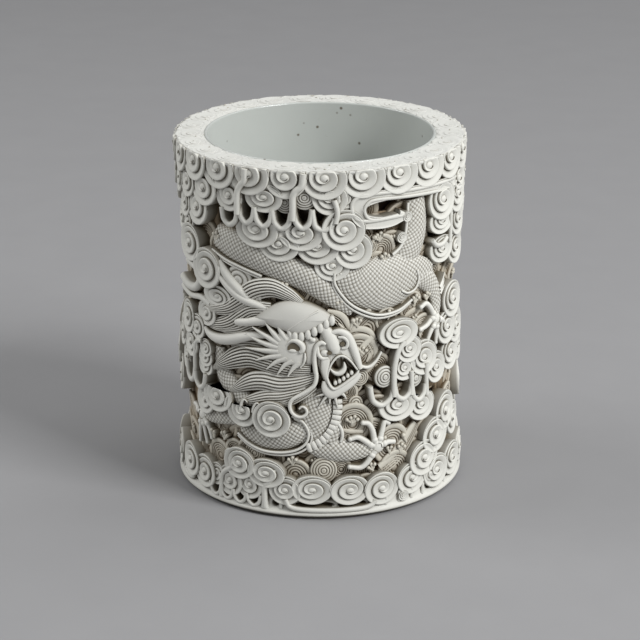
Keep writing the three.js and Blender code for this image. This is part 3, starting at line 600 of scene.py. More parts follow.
def biscuit(name, clean, groove, deep, deep_radii, groove_share=0.95, hollow_shade_share=0.97, roughness=0.5):
    """Unglazed porcelain: darker in its grooves and narrow hollows by painted shade, and browner in
    patches towards the second of two radii.
    """
    nodes = Shades(name)
    mottle = nodes.ramp(nodes.noise(MOTTLE_SCALE), 0.35, 0.7)
    tone = nodes.mix(mottle, clean, tuple(0.93 * c for c in clean))
    # Browner in noisy patches where the surface lies closer to the pot's axis
    depth = nodes.ramp(nodes.radius(), *deep_radii)
    patch = nodes.ramp(nodes.noise(PATCH_SCALE), 0.2, 0.62)
    deep_browned = nodes.mix(nodes.product(depth, patch), tone, deep)
    # Painted shade in narrow hollows, from ambient occlusion
    hollow_shade = nodes.product(nodes.crevice(CREVICE_REACH, 0.15, 0.72), hollow_shade_share)
    hollow_shaded = nodes.mix(hollow_shade, deep_browned, groove)
    # Painted shade from the mesh's per-vertex attribute, darkening grooves, pits and the feet of shapes
    painted_shade = nodes.add("ShaderNodeAttribute", attribute_name="painted_shade")
    line = nodes.product(painted_shade.outputs["Fac"], groove_share)
    nodes.link(nodes.mix(line, hollow_shaded, groove), nodes.shader.inputs["Base Color"])
    grain = nodes.add("ShaderNodeBump")
    grain.inputs["Strength"].default_value = 0.12
    grain.inputs["Distance"].default_value = GRAIN_DEPTH
    nodes.link(nodes.noise(GRAIN_SCALE, 3.0), grain.inputs["Height"])
    nodes.link(grain.outputs["Normal"], nodes.shader.inputs["Normal"])
    nodes.shader.inputs["Roughness"].default_value = roughness
    nodes.shader.inputs["Specular IOR Level"].default_value = 0.35
    return nodes.material


CLOUD_CLAY = biscuit(
    "cloud_biscuit", clean=(0.73, 0.728, 0.675), groove=(0.10, 0.078, 0.044),
    deep=(0.46, 0.39, 0.28), deep_radii=(0.0494, 0.0470))
DRAGON_CLAY = biscuit(
    "dragon_biscuit", clean=(0.80, 0.796, 0.74), groove=(0.12, 0.096, 0.056),
    deep=(0.44, 0.37, 0.27), deep_radii=(0.0502, 0.0472))
WAVE_CLAY = biscuit(
    "wave_biscuit", clean=(0.66, 0.635, 0.55), groove=(0.09, 0.058, 0.027),
    deep=(0.46, 0.38, 0.265), deep_radii=(0.0502, 0.0470))
RIM_CLAY = biscuit(
    "rim_biscuit", clean=(0.60, 0.602, 0.57), groove=(0.36, 0.33, 0.27),
    deep=(0.7, 0.705, 0.68), deep_radii=(0.02, 0.01), groove_share=0.6, hollow_shade_share=0.35, roughness=0.8)
MOUTH_CLAY = biscuit(
    "mouth_biscuit", clean=(0.42, 0.32, 0.22), groove=(0.07, 0.04, 0.02),
    deep=(0.27, 0.15, 0.07), deep_radii=(0.0520, 0.0490))
# The wall shows only inside its windows: its dark brown, darker towards its inner face, is painted shade
# for the openings
WALL_CLAY = biscuit(
    "wall_biscuit", clean=(0.34, 0.26, 0.17), groove=(0.16, 0.12, 0.075),
    deep=(0.10, 0.075, 0.05), deep_radii=(0.0470, 0.0455))


# Colours of the liner: its glaze, thin and thick, its specks, and the painted shade on its outside
GLAZE_THIN = (0.50, 0.525, 0.50)
GLAZE_THICK = (0.455, 0.475, 0.45)
SPECK_BROWN = (0.16, 0.14, 0.11)
LINER_SHADE_BROWN = (0.085, 0.055, 0.036)
SPECK_SCALE = 190.0
# The glaze ends and the painted shade of the outside begins between these radii, in metres
GLAZE_ENDS = (0.0425, 0.0428)


def glaze():
    """Pale glaze inside the pot, with fine dark specks; outside the liner, dark brown painted shade for
    the hollow behind the pierced wall.
    """
    nodes = Shades("liner_glaze")
    cloudy = nodes.ramp(nodes.noise(24.0), 0.3, 0.75)
    tone = nodes.mix(cloudy, GLAZE_THIN, GLAZE_THICK)
    speck = nodes.add("ShaderNodeTexVoronoi")
    speck.inputs["Scale"].default_value = SPECK_SCALE
    coordinates = nodes.add("ShaderNodeTexCoord")
    nodes.link(coordinates.outputs["Object"], speck.inputs["Vector"])
    dot = nodes.ramp(speck.outputs["Distance"], 0.14, 0.06)
    rare = nodes.ramp(nodes.noise(130.0), 0.42, 0.47)
    specked = nodes.mix(nodes.product(dot, rare), tone, SPECK_BROWN)
    # The liner's outside is painted dark brown, as shade behind the pierced wall
    outside = nodes.ramp(nodes.radius(), *GLAZE_ENDS)
    nodes.link(nodes.mix(outside, specked, LINER_SHADE_BROWN), nodes.shader.inputs["Base Color"])
    nodes.shader.inputs["Roughness"].default_value = 0.24
    nodes.shader.inputs["Coat Weight"].default_value = 0.4
    nodes.shader.inputs["Coat Roughness"].default_value = 0.12
    return nodes.material


LINER_GLAZE = glaze()


# Turned pieces

def turned(clay, profile, sides=144, painted_shade=0.0):
    """A ring turned from its closed profile of (radius, height)."""
    profile = np.array(profile, float)
    angle = np.linspace(0, 2 * math.pi, sides, endpoint=False)[:, None]
    radius, height = profile.T
    points = np.stack([radius * np.cos(angle), radius * np.sin(angle), height + 0 * angle], -1)
    count = len(profile)
    index = np.arange(sides * count).reshape(sides, count)
    after = np.roll(index, -1, axis=1)
    corners = [index, after, np.roll(after, -1, axis=0), np.roll(index, -1, axis=0)]
    quads = np.stack(corners, axis=-1).reshape(-1, 4)
    clay.add(points.reshape(-1, 3) * MM, np.full(sides * count, painted_shade), quads, np.zeros((0, 3), int))


def arc(centre, radius, start, end, steps=6):
    """Points on an arc of a profile, by degrees."""
    angles = np.radians(np.linspace(start, end, steps))
    return [(centre[0] + radius * math.cos(a), centre[1] + radius * math.sin(a)) for a in angles]


# A turned profile ends this close to the axis
NEAR_AXIS = 0.05
LIP_RADIUS = 0.6
FLOOR_CURVE = 3


def make_liner():
    """The inner cup: its underside, its outside, its collar and lip, and then its bore and floor."""
    clay = Clay()
    top = RIM_BOTTOM - SEAM
    profile = [
        (NEAR_AXIS, WALL_BOTTOM), (LINER_RADIUS - 2, WALL_BOTTOM), (LINER_RADIUS, WALL_BOTTOM + 2),
    ]
    profile += [(LINER_RADIUS, top), (COLLAR_RADIUS, top)]
    profile += arc((BORE_RADIUS + LIP_RADIUS, HEIGHT - 0.9), LIP_RADIUS, 0, 180, 8)
    profile += arc((BORE_RADIUS - FLOOR_CURVE, FLOOR_LEVEL + FLOOR_CURVE), FLOOR_CURVE, 0, -90)
    profile += [(NEAR_AXIS, FLOOR_LEVEL)]
    turned(clay, profile)
    clay.build("liner_glazed", LINER_GLAZE, "glazed_porcelain", ["vessel_liner"], sharp=30)


# Small arches and slots between the foot and its row of clouds, as (u, v, half width, half height)
FOOT_ARCHES = [
    (-43.2, 5.5, 2.0, 2.1), (-37.2, 5.6, 2.0, 2.2), (-31.2, 5.5, 2.0, 2.2), (-25.2, 5.4, 2.0, 2.1),
    (-16.6, 5.2, 1.7, 1.4), (-1.9, 5.3, 7.4, 1.4), (12.1, 5.2, 5.6, 1.3), (46.4, 5.2, 1.7, 1.3),
    (53.6, 5.4, 1.8, 1.5), (60.4, 5.3, 2.4, 1.3), (-50, 5.5, 1.5, 1.6), (-57, 5.4, 1.5, 1.4),
] + [(BACK - 96 + 6.95 * i, 5.5, 1.7, 1.6) for i in range(29)]


def drilled(piece, tool):
    """Cuts a tool out of a piece for good, and takes the tool away."""
    cut = piece.modifiers.new("windows", "BOOLEAN")
    cut.operation = "DIFFERENCE"
    cut.solver = "EXACT"
    cut.object = tool
    graph = bpy.context.evaluated_depsgraph_get()
    shape = bpy.data.meshes.new_from_object(piece.evaluated_get(graph))
    piece.modifiers.clear()
    piece.data = shape
    bpy.data.objects.remove(tool)


def drill_of(windows, low, high):
    """Drills for round windows of (u, v, half width, half height)."""
    drills = Clay(low=low)
    for u, v, wide, tall in windows:
        pad(drills, ring_points(u, v, wide, tall, 24), (u, v), [(1, low, 0), (1, high, 0)])
    return drills.build("window_drills", WALL_CLAY, "stained_biscuit")


# The slope behind the row of clouds, from the foot's edge up to the wall, as (radius, height)
FOOT_SLOPE = [
    (52.75, 2.4), (52.2, 3.0), (51.6, 3.8), (51.3, 5.4), (50.8, 6.6), (49.6, 7.8), (47.9, 9.0),
]


def make_foot():
    """The ring that the pot stands on, with small arches in the slope above it."""
    clay = Clay()
    profile = [(FOOT_BORE, 0), (50.6, 0), (50.8, 1.1)]
    profile += arc((FOOT_RADIUS - 0.8, 1.9), 0.8, -90, 0, 5)
    profile += FOOT_SLOPE
    profile += [(FOOT_SLOPE[-1][0], FOOT_HEIGHT), (FOOT_BORE - 0.8, FOOT_HEIGHT)]
    turned(clay, profile, sides=288, painted_shade=0.05)
    foot = clay.build("foot_turned", CLOUD_CLAY, "biscuit_porcelain", ["foot_ring"], sharp=40)
    drilled(foot, drill_of(FOOT_ARCHES, 0.3, 7.0))


RIM_TOP = HEIGHT - 0.45
RIM_SCROLLS = 25
RIM_RADIUS = 47.2
RIM_PITS = 26


def lay_on_rim(u, v, h):
    """Puts points on the rim's flat top: u runs round its middle, v is the radius, h is the height."""
    angle = u / RIM_RADIUS
    return np.stack([v * np.sin(angle), -v * np.cos(angle), h + 0 * u], axis=-1) * MM


def make_rim():
    """The ring on top, carved with flat scrolls and cords and pitted here and there."""
    clay = Clay(spread=lay_on_rim, low=RIM_TOP - 0.8)
    profile = [(COLLAR_RADIUS, RIM_BOTTOM), (51.0, RIM_BOTTOM), (52.0, RIM_BOTTOM + 1)]
    profile += arc((51.5, RIM_TOP - 0.9), 0.9, 0, 90, 6)
    profile += [(COLLAR_RADIUS + 0.9, RIM_TOP), (COLLAR_RADIUS, RIM_TOP - 0.25)]
    turned(clay, profile)
    pitch = 2 * math.pi * RIM_RADIUS / RIM_SCROLLS
    for i in range(RIM_SCROLLS):
        spin = 1 if i % 3 else -1
        size = 5.0 + 0.25 * math.sin(3.7 * i)
        middle = RIM_RADIUS + 0.2 * math.sin(2.3 * i)
        scroll(
            clay, pitch * i, middle, 1.22 * size, size, RIM_TOP + 0.12, spin, 47 * i,
            tilt=(0.008, 0.0), steps=28, relief=0.36)
        between = pitch * (i + 0.5)
        for side in (-1, 1):
            cord(clay, 0.55, RIM_TOP + 0.16, [
                (between + 2.2 * side * k, RIM_RADIUS + side * (4.5 - 1.4 * k * k))
                for k in (-1, 0, 1)
            ])
    pit = [(1, RIM_TOP, 1), (1, RIM_TOP + 0.33, 1), (0.6, RIM_TOP + 0.34, 1)]
    for _ in range(RIM_PITS):
        u, v = rng.uniform(0, 2 * math.pi * RIM_RADIUS), rng.uniform(43.4, 51.4)
        pad(clay, ring_points(u, v, 0.34, 0.26, 8), (u, v), pit)
    clay.build("rim_carved", RIM_CLAY, "biscuit_porcelain", ["rim_ring"], sharp=40)


# The pierced wall, and windows as (u, v, half width, half height)

WINDOWS = [
    (-34.8, 112.2, 2.4, 2.6), (-26.8, 113.4, 2.6, 3.2), (-20.4, 113.2, 2.7, 3.0),
    (-13.6, 113.2, 2.7, 3.0), (-5.6, 113.4, 2.6, 3.2), (1.6, 113.2, 3.0, 3.0), (25.8, 115.2, 6.6, 2.6),
    (50.8, 99.7, 3.4, 1.5), (63.4, 97.6, 2.8, 1.8), (-43.6, 109.4, 3.2, 5.6), (-57.2, 83.2, 3.0, 2.4),
    (-59.0, 47.0, 2.2, 2.4), (-51.4, 46.4, 2.2, 2.2), (-62, 52, 1.8, 2.2), (-60.0, 31.0, 4.2, 5.2),
    (23.4, 46.9, 2.8, 2.0), (31.0, 47.0, 1.6, 2.2), (34.4, 46.8, 1.6, 2.0), (39.4, 44.4, 2.2, 1.5),
    (53.2, 38.6, 5.0, 2.4), (61.0, 21.6, 4.0, 1.6), (59.6, 4.9, 2.2, 0.9), (-43, 4.9, 1.3, 1.0),
    (-37, 5.2, 1.5, 1.2), (-31, 5.1, 1.5, 1.1), (-25.2, 4.9, 1.4, 1.1), (-16.4, 5.1, 1.2, 1.0),
] + [(BACK + 7.6 + 7.2 * i, 113.2, 2.7, 3.0) for i in range(4)]


def make_wall():
    """The outer tube with its windows, which carries all the relief."""
    shell = Clay()
    profile = [(radius, WALL_BOTTOM) for radius in (WALL_INNER, WALL_OUTER)]
    profile += [(radius, RIM_BOTTOM) for radius in (WALL_OUTER, WALL_INNER)]
    turned(shell, profile, painted_shade=0.2)
    wall = shell.build("wall_pierced", WALL_CLAY, "stained_biscuit", ["pierced_wall"], sharp=30)
    drilled(wall, drill_of(WINDOWS, -5, 5))


# Wave ground

def near_window(u, v, margin):
    """True where a place on the sheet lies over a window."""
    for wu, wv, wide, tall in WINDOWS:
        du = (u - wu + GIRTH / 2) % GIRTH - GIRTH / 2
        if (du / (wide + margin)) ** 2 + ((v - wv) / (tall + margin)) ** 2 < 1:
            return True
    return False


# Fans of water on the front: (u, v, radius, top, lean of the crest in degrees, fine lines)
FRONT_FANS = [
    (-44, 17, 7, 2.0, 90, 4), (-35.5, 21, 5.2, 2.3, 90, 4), (-28, 22.4, 6, 2.6, 90, 5),
    (-18.5, 21.6, 5, 2.1, 80, 4), (-9.5, 15.8, 6.6, 2.4, 90, 3), (8.2, 18, 4.6, 2.4, 90, 3),
    (12.5, 35.6, 8.4, 2.8, 85, 5), (28.6, 25.6, 8.2, 2.6, 100, 4), (36.5, 22.6, 7.4, 1.8, 60, 5),
    (30.5, 15.6, 7.6, 2.6, 90, 4), (20.6, 30.6, 6.6, 2.2, 95, 4), (14.2, 61.4, 8.6, 2.8, 75, 4),
    (22.4, 56, 5.8, 2.0, 90, 4), (26, 73.4, 4.8, 2.6, 90, 4), (17.8, 70.4, 7.4, 2.2, 110, 3),
    (8.6, 78.6, 6.6, 1.6, 60, 4), (38, 76, 6, 2.2, 90, 4), (23.5, 99.4, 6.4, 2.4, 80, 4),
    (-8.6, 86, 5.2, 2.0, 90, 4), (15.6, 104.6, 5.4, 2.0, 120, 3), (21.6, 107.6, 4.6, 1.6, 60, 3),
    (-42, 29.6, 7.4, 1.5, 90, 4), (-43, 96.4, 6, 1.8, 90, 3), (22.4, 38.4, 7.2, 1.9, 70, 4),
    (44, 66, 6.4, 2.2, 90, 4), (42, 80, 5.4, 2.4, 90, 4), (-52, 17, 6.4, 1.6, 90, 4),
    (10, 47.6, 4.8, 2.5, 90, 4), (12.6, 50.6, 4.0, 2.2, 60, 3),
]
# Discs of rings: (u, v, radius, top, rings)
FRONT_RINGS = [
    (1.4, 18.4, 5.2, 3.2, 5), (18.6, 101.6, 3.6, 2.4, 4), (-25.6, 22.8, 4.4, 3.0, 5),
    (13.6, 43.4, 3.0, 2.6, 3), (15.2, 53.2, 3.3, 3.0, 4),
]
FRONT_STREAMS = [
    ([(24, 16.4, 2.6), (30, 20, 3.2), (36, 25.4, 3.2), (40.6, 31, 2.0)], 2.5),
    ([(9.2, 69, 1.2), (13.4, 70.4, 2.3), (18, 69.2, 2.3), (21, 66.2, 1.2)], 2.6),
    ([(14, 60.4, 1.6), (17, 64, 2.5), (20.6, 67.4, 2.1)], 3.0),
    ([(18.2, 58.4, 1.0), (20.6, 61.2, 1.9), (23.2, 64.4, 1.3)], 2.3),
    ([(2.4, 78.4, 1.4), (7.2, 76, 2.5), (10.2, 71.4, 2.3)], 3.0),
    ([(12.4, 71, 1.4), (16, 74.8, 2.4), (19.8, 77.4, 2.0)], 2.6),
    ([(7.6, 33, 1.4), (12, 31.6, 2.0), (16.6, 31.4, 1.6)], 2.2),
    ([(12.6, 97.8, 1.6), (17, 100.6, 2.2), (20.6, 105, 1.4)], 2.2),
]
# Single drops: (u, v, lean)
FRONT_DROPS = [
    (9.0, 71.6, -50), (12.2, 75, 70), (13.8, 64.2, 140), (25, 29, 60), (33.4, 28.2, 120),
    (20.4, 104.8, 60),
]
# Sprays of foam: (u, v, lean, drops)
FRONT_FOAM = [
    (12.2, 36, 90, 4), (27.6, 22.4, 100, 2), (32.4, 22, 80, 3), (20.4, 17, 110, 3), (14, 72.6, 100, 3),
    (15.6, 61.6, 80, 3), (-10.4, 20.4, 90, 3), (-12.6, 86, 100, 2), (-40, 25, 80, 3),
    (22.4, 103.4, 100, 4), (24.6, 95.4, 90, 3), (-43, 100, 80, 3), (38.6, 77.4, 80, 3),
    (26.4, 74, 70, 2), (-35, 16.4, 90, 2), (45, 77, 90, 3), (8.4, 80, 120, 2), (41.6, 64, 90, 2),
    (-46, 24, 110, 3),
]
# The ground of fans all round: its columns and rows, the height of the first row and the pitch of rows
WAVE_COLUMNS = 25
WAVE_ROWS = 14
FIRST_ROW = 8
ROW_PITCH = 8.2
# The wave ground is made in this many pieces round the pot
SECTORS = 6


def near_front_fan(u, v):
    """True where a place on the sheet lies well inside one of the front's fans."""
    return any(math.hypot(u - fu, v - fv) < 0.55 * size for fu, fv, size, *_ in FRONT_FANS)


def make_waves():
    """The sea: rows of fans all round, and the chosen fans, discs, streams and drops of the front."""
    sectors = [Clay() for _ in range(SECTORS)]

    def sector_at(u):
        return sectors[int((u / GIRTH + 0.5) * SECTORS) % SECTORS]

    for row in range(WAVE_ROWS):
        for column in range(WAVE_COLUMNS):
            u = GIRTH * (column + 0.5 * (row % 2)) / WAVE_COLUMNS - GIRTH / 2 + rng.uniform(-1.6, 1.6)
            v = FIRST_ROW + ROW_PITCH * row + rng.uniform(-1.5, 1.5)
            size = rng.uniform(7.0, 9.0)
            level = rng.uniform(0.0, 0.9)
            lean = rng.uniform(70, 110)
            if near_window(u, v, 4.6) or near_front_fan(u, v):
                continue
            clay = sector_at(u)
            wave(clay, u, v, size, level, lean, int(rng.integers(3, 6)))
            if rng.random() < 0.55:
                at = u + rng.uniform(-3, 3)
                foam(clay, at, v + 0.35 * size, 1.1, lean, level + 1.3, int(rng.integers(2, 5)))
    for u, v, size, top, lean, lines in FRONT_FANS:
        wave(sector_at(u), u, v, size, top - 0.5, lean, lines, 0.09, steps=48)
    for u, v, size, top, count in FRONT_RINGS:
        rings(sector_at(u), u, v, size, size, top, count, 0.5)
    for points, top in FRONT_STREAMS:
        stream(sector_at(points[0][0]), points, top)
    for u, v, lean in FRONT_DROPS:
        drop(sector_at(u), u, v, 1.5, lean, 3.4)
    for u, v, lean, count in FRONT_FOAM:
        foam(sector_at(u), u, v, 1.2, lean, 3.2, count)
    for number, clay in enumerate(sectors, 1):
        clay.build(f"wave_ground_{number}", WAVE_CLAY, "stained_biscuit", sharp=60)


# Clouds

def scrolls(clay, lobes, tilt=(0.05, -0.05), spin=1, start=0.0, roof=None):
    """Scrolls from rows of (u, v, half width, half height, top), all wound one way."""
    for u, v, wide, tall, top in lobes:
        scroll(clay, u, v, wide, tall, top, spin, start, tilt, roof=roof)


def scrolls_wound_back(clay, lobes, tilt=(-0.03, -0.02)):
    """Scrolls that wind the other way, from their left side."""
    scrolls(clay, lobes, tilt, spin=-1, start=180)


def cords(clay, half, top, paths):
    """Cords of one width from a list of paths."""
    for path in paths:
        cord(clay, half, top, path)


def festoon(clay, left, right, low, half=1.05, top=5.2):
    """One hanging loop of cord between two places."""
    (u0, v0), (u1, v1) = left, right
    inset = 0.16 * (u1 - u0)
    base = low + 0.28 * (min(v0, v1) - low)
    down = [(u0, v0), (u0 + 0.3 * inset, (v0 + base) / 2), (u0 + inset, base), ((u0 + u1) / 2, low)]
    up = [(u1 - inset, base), (u1 - 0.3 * inset, (v1 + base) / 2), (u1, v1)]
    cord(clay, half, top, down + up, 0.6)


def carve(fill, material):
    """Makes the carved form of a CAD node, with the function of the node's name that fills its clay."""
    clay = Clay()
    fill(clay)
    return clay.stand_for(fill.__name__, material)


# The row under the rim: its lobes, and how far round the first one stands
RIM_LOBES = 24
RIM_START = 1.5


def cloud_rim_row(clay):
    pitch = GIRTH / RIM_LOBES
    for i in range(RIM_LOBES):
        wide = 8.3 + 0.25 * math.sin(2.4 * i)
        top = 4.95 - 0.12 * (i % 2)
        scroll(clay, RIM_START + pitch * i, RIM_BOTTOM, wide, 7.7, top, tilt=(0.05, -0.03))


def cloud_base_row(clay):
    scrolls(clay, [
        (-61, 11, 8, 6.4, 4.9), (-50, 10, 7, 6.2, 4.7), (-36, 10.5, 6.2, 5.8, 4.4),
        (-43, 11, 4.4, 4.2, 4.1), (-27, 10.8, 5.6, 5.4, 4.5), (-13, 10.7, 6.3, 5.5, 4.7),
    ])
    scroll(clay, -3, 11.5, 7.6, 5.5, 5.0, tilt=(0, -0.02))
    scrolls_wound_back(clay, [
        (11, 11, 7.5, 5.6, 4.9), (23.5, 10, 7.2, 6.2, 4.7), (37, 11.3, 7.3, 6.2, 4.6),
    ], tilt=(-0.04, -0.02))
    for i in range(16):
        spin = -1 if i % 4 == 3 else 1
        scroll(clay, 50.4 + 13.7 * i, 10.2, 7.7, 6.4, 4.9 - 0.15 * (i % 2), spin, tilt=(0.04, -0.03))
    cord(clay, 1.0, 5.4, [
        (-12.6, 7.4), (-11.4, 5.0), (-8.6, 4.0), (-2, 3.7), (8, 3.6), (16, 3.7), (19.4, 4.6),
        (20.6, 6.0),
    ])
    cord(clay, 0.9, 5.2, [(-67, 5.4), (-65, 4.2), (-62, 3.9), (-59, 4.4), (-57.6, 5.8)])
    for u in (-43.2, -37.2, -31.2, -25.2):
        festoon(clay, (u - 2.9, 7.6), (u + 2.9, 7.6), 3.1, 0.75, 5.0)
    for u in [-14.4, 19.6, 25.4, 31.2, 37.0, 42.8] + [57 + 6.4 * i for i in range(34)]:
        cord(clay, 0.8, 4.5, [(u, 7.6), (u - 0.1, 5.2), (u - 0.2, 3.4)])


def cloud_sprig_left(clay):
    scroll(clay, -31.5, 18.3, 7, 6, 4.9, tilt=(0.02, -0.03))
    sweep(clay, [
        (-33.8, 19.4, 0.9, 4.9), (-35, 16, 1.0, 5.0), (-38.3, 13.5, 1.1, 5.1), (-39.8, 11, 1.1, 5.1),
        (-40, 7, 1.1, 5.1), (-40.1, 3.2, 1.5, 5.1),
    ])
    rings(clay, -37.8, 18.6, 3.0, 3.4, 3.2, 3)


def cloud_sprig_right(clay):
    scroll(clay, -20.3, 16.5, 7.6, 5.5, 4.9, tilt=(0.02, -0.03))
    sweep(clay, [
        (-17.4, 18.2, 1.0, 5.0), (-17.2, 16, 1.1, 5.1), (-19, 13.6, 1.3, 5.1), (-20.8, 11, 1.3, 5.1),
        (-20.9, 7, 1.3, 5.1), (-20.8, 3.8, 1.7, 5.1), (-20.8, 2.8, 2.8, 5.0),
    ])


def cloud_bank_top(clay):
    scrolls(clay, [(-20.5, 119.6, 7.5, 5.4, 4.5), (3.5, 120.3, 6.5, 6, 4.5), (9, 120, 3.6, 3.6, 4.1)])
    rings(clay, -12.6, 118.4, 4.3, 4.3, 3.9, 5, 0.8)
    rings(clay, -5.6, 120.4, 5, 4.6, 4.1, 5, 0.8)
    scrolls(clay, [(-23.5, 107.6, 8.8, 6.6, 4.3), (-7, 107.6, 8.4, 6.4, 4.2)], roof=110.3)
    scroll(clay, 8.4, 108.8, 8.0, 7.6, 5.0, tilt=(-0.02, 0))
    scrolls(clay, [
        (-15, 103, 7.9, 6.3, 3.8), (-0.8, 103, 8.1, 6.8, 3.8), (12, 101.3, 7.2, 7, 4.0),
        (4.5, 95.5, 6.7, 5.5, 3.3),
    ])


def cloud_arcade_top(clay):
    festoon(clay, (-38, 113.6), (-31, 113), 107.8)
    festoon(clay, (-30.4, 116), (-23.9, 115.8), 109.6)
    festoon(clay, (-23.9, 115.8), (-17.1, 115.6), 109.2)
    festoon(clay, (-17.1, 115.6), (-10.2, 115.0), 109.0)
    festoon(clay, (-9.4, 116), (-2.8, 116.4), 109.5)
    festoon(clay, (-2.8, 116.4), (5.2, 113.4), 109.0)
    cords(clay, 1.25, 6.1, [
        [(-30.5, 112.5), (-30.5, 118), (-30.2, 121.0), (-28.9, 123.4), (-27.4, 125.2), (-27.2, 129.4)],
        [(-9.5, 112.5), (-9.5, 118), (-9.4, 121.0), (-8.4, 123.2), (-6.4, 125.0), (-5.7, 129.4)],
    ])
    cord(clay, 1.0, 5.9, [(5.4, 111.6), (6, 114.2), (5.9, 116.6), (5.2, 119.0), (4.9, 120)])


def cloud_strap(clay):
    outer = [
        (60, 117.8), (48, 118.6), (36, 119.2), (24, 119.8), (15, 119.6), (11.8, 117.8), (11.2, 115.2),
        (12.4, 112), (15.5, 110.4), (22, 110.3), (29, 110.8),
    ]
    inner = [
        (48, 117.2), (34, 118.3), (20.6, 118.9), (17.0, 117.8), (15.8, 115.4), (17.0, 112.7),
        (20.2, 111.6), (31, 111.8),
    ]
    band = [
        (62, 118.2, 2.2), (48, 118.8, 2.2), (36, 119.6, 2.1), (24, 120.2, 2.0), (15.8, 118.8, 2.4),
        (13.0, 115.4, 2.5), (15.2, 111.8, 2.6), (20, 110.5, 2.2), (26, 110.3, 1.9), (31, 111.0, 1.2),
    ]
    sweep(clay, [(u, v, half, 4.7) for u, v, half in band], GUTTER, step=0.6)
    sweep(clay, [(u, v + 1.2, 0.8, 4.9) for u, v in outer])
    sweep(clay, [(u, v, 0.7, 4.9) for u, v in inner])
    spike(clay, 1.2, 4.8, [(29.6, 112.8), (32.4, 111.4), (32.6, 108.6)])
    scroll(clay, 33.0, 111.0, 1.9, 1.9, 4.7, steps=24)
    scroll(clay, 31.4, 103.4, 2.2, 2.0, 3.8, steps=24)


def cloud_bank_left_top(clay):
    scrolls(clay, [
        (-35, 118.4, 6.3, 5.8, 4.4), (-48.5, 118.6, 8, 6.8, 4.4), (-61, 118, 6.8, 6, 4.3),
        (-53.5, 110.5, 7.5, 7, 4.1), (-64.5, 109.5, 6, 5.8, 3.9), (-62, 102.8, 6, 5.8, 3.7),
        (-70.5, 103, 5.6, 5.4, 3.6), (-72, 117, 6.4, 6, 4.2),
    ])


def cloud_bank_left_upper(clay):
    scroll(clay, -59, 95.6, 8.4, 7, 4.7, tilt=(0, -0.03))
    scroll(clay, -47, 89, 8, 7.5, 5.0, start=20, tilt=(0, -0.02))
    scroll(clay, -42, 79.6, 7.4, 4.2, 4.0, start=200)
    rings(clay, -32, 87.4, 6.2, 5.4, 3.4, 3, 1.0)
    cord(clay, 1.7, 4.6, [(-70, 79.2), (-62, 78.2), (-55.6, 79.4), (-52.6, 83), (-55, 86.8), (-62, 88)])
    cord(clay, 1.2, 4.2, [(-70, 75.8), (-60, 75.2), (-52, 76.4), (-46, 75.2)])
    sweep(clay, [
        (-41, 92.6, 1.6, 4.4), (-37, 88.4, 2.0, 4.7), (-32, 84.6, 2.0, 4.8), (-27, 81.2, 1.6, 4.6),
    ])


def cloud_bank_left_middle(clay):
    scrolls(clay, [
        (-48, 71.8, 5.8, 4.8, 4.0), (-62, 66.6, 6.4, 6.2, 4.4), (-54, 65, 5.6, 4.6, 4.4),
        (-59.4, 58, 6.2, 6, 4.4), (-48.4, 58.4, 3.8, 3.4, 4.3), (-49.2, 54.8, 4.6, 3.8, 4.0),
        (-49.6, 51.2, 4.8, 3.8, 3.7), (-66, 50, 5, 5, 3.8), (-70, 59, 6, 6, 4.0),
    ])
    cord(clay, 1.0, 5.1, [(-50.5, 60.4), (-53.4, 59.8), (-55.2, 57.4), (-55.6, 52), (-55.5, 44.6)])
    festoon(clay, (-62.4, 49.6), (-55.6, 48.6), 43.0)
    festoon(clay, (-55.4, 47.6), (-48.4, 48.2), 42.2)


def cloud_bank_left_lower(clay):
    scroll(clay, -49.5, 38.4, 5.8, 5.6, 4.2, tilt=(0.05, -0.05))
    scroll(clay, -30, 39.0, 6.6, 6.2, 4.6, tilt=(0, -0.03), roof=40.8)
    scroll(clay, -42, 42, 7.6, 6.2, 4.7, tilt=(0, -0.04), roof=44.6)
    scroll(clay, -18, 37.6, 7.4, 6.8, 5.1, start=30, tilt=(0, -0.02))
    for u, v in ((-36, 41.6), (-28.8, 42), (-23.6, 41.6)):
        spike(clay, 0.8, 4.9, [(u - 1.6, v - 2.4), (u - 1.2, v), (u, v + 1.4), (u + 1.2, v + 0.4)])


def cloud_bank_right_top(clay):
    scrolls(clay, [
        (52, 113.2, 8, 7.4, 4.8), (66, 112, 8, 7, 4.6), (52.5, 105.2, 7.5, 4.8, 4.3),
        (67.5, 102, 7, 6, 4.3), (53, 94.6, 7.4, 5, 4.1), (66, 91.6, 7.4, 6, 4.0), (78, 108, 7, 6.4, 4.2),
    ])
    cords(clay, 1.0, 5.0, [
        [(58.4, 108), (58.6, 102), (58.2, 96)], [(46, 99.4), (48.6, 97), (52.6, 96.6), (55.6, 98.2)],
    ])


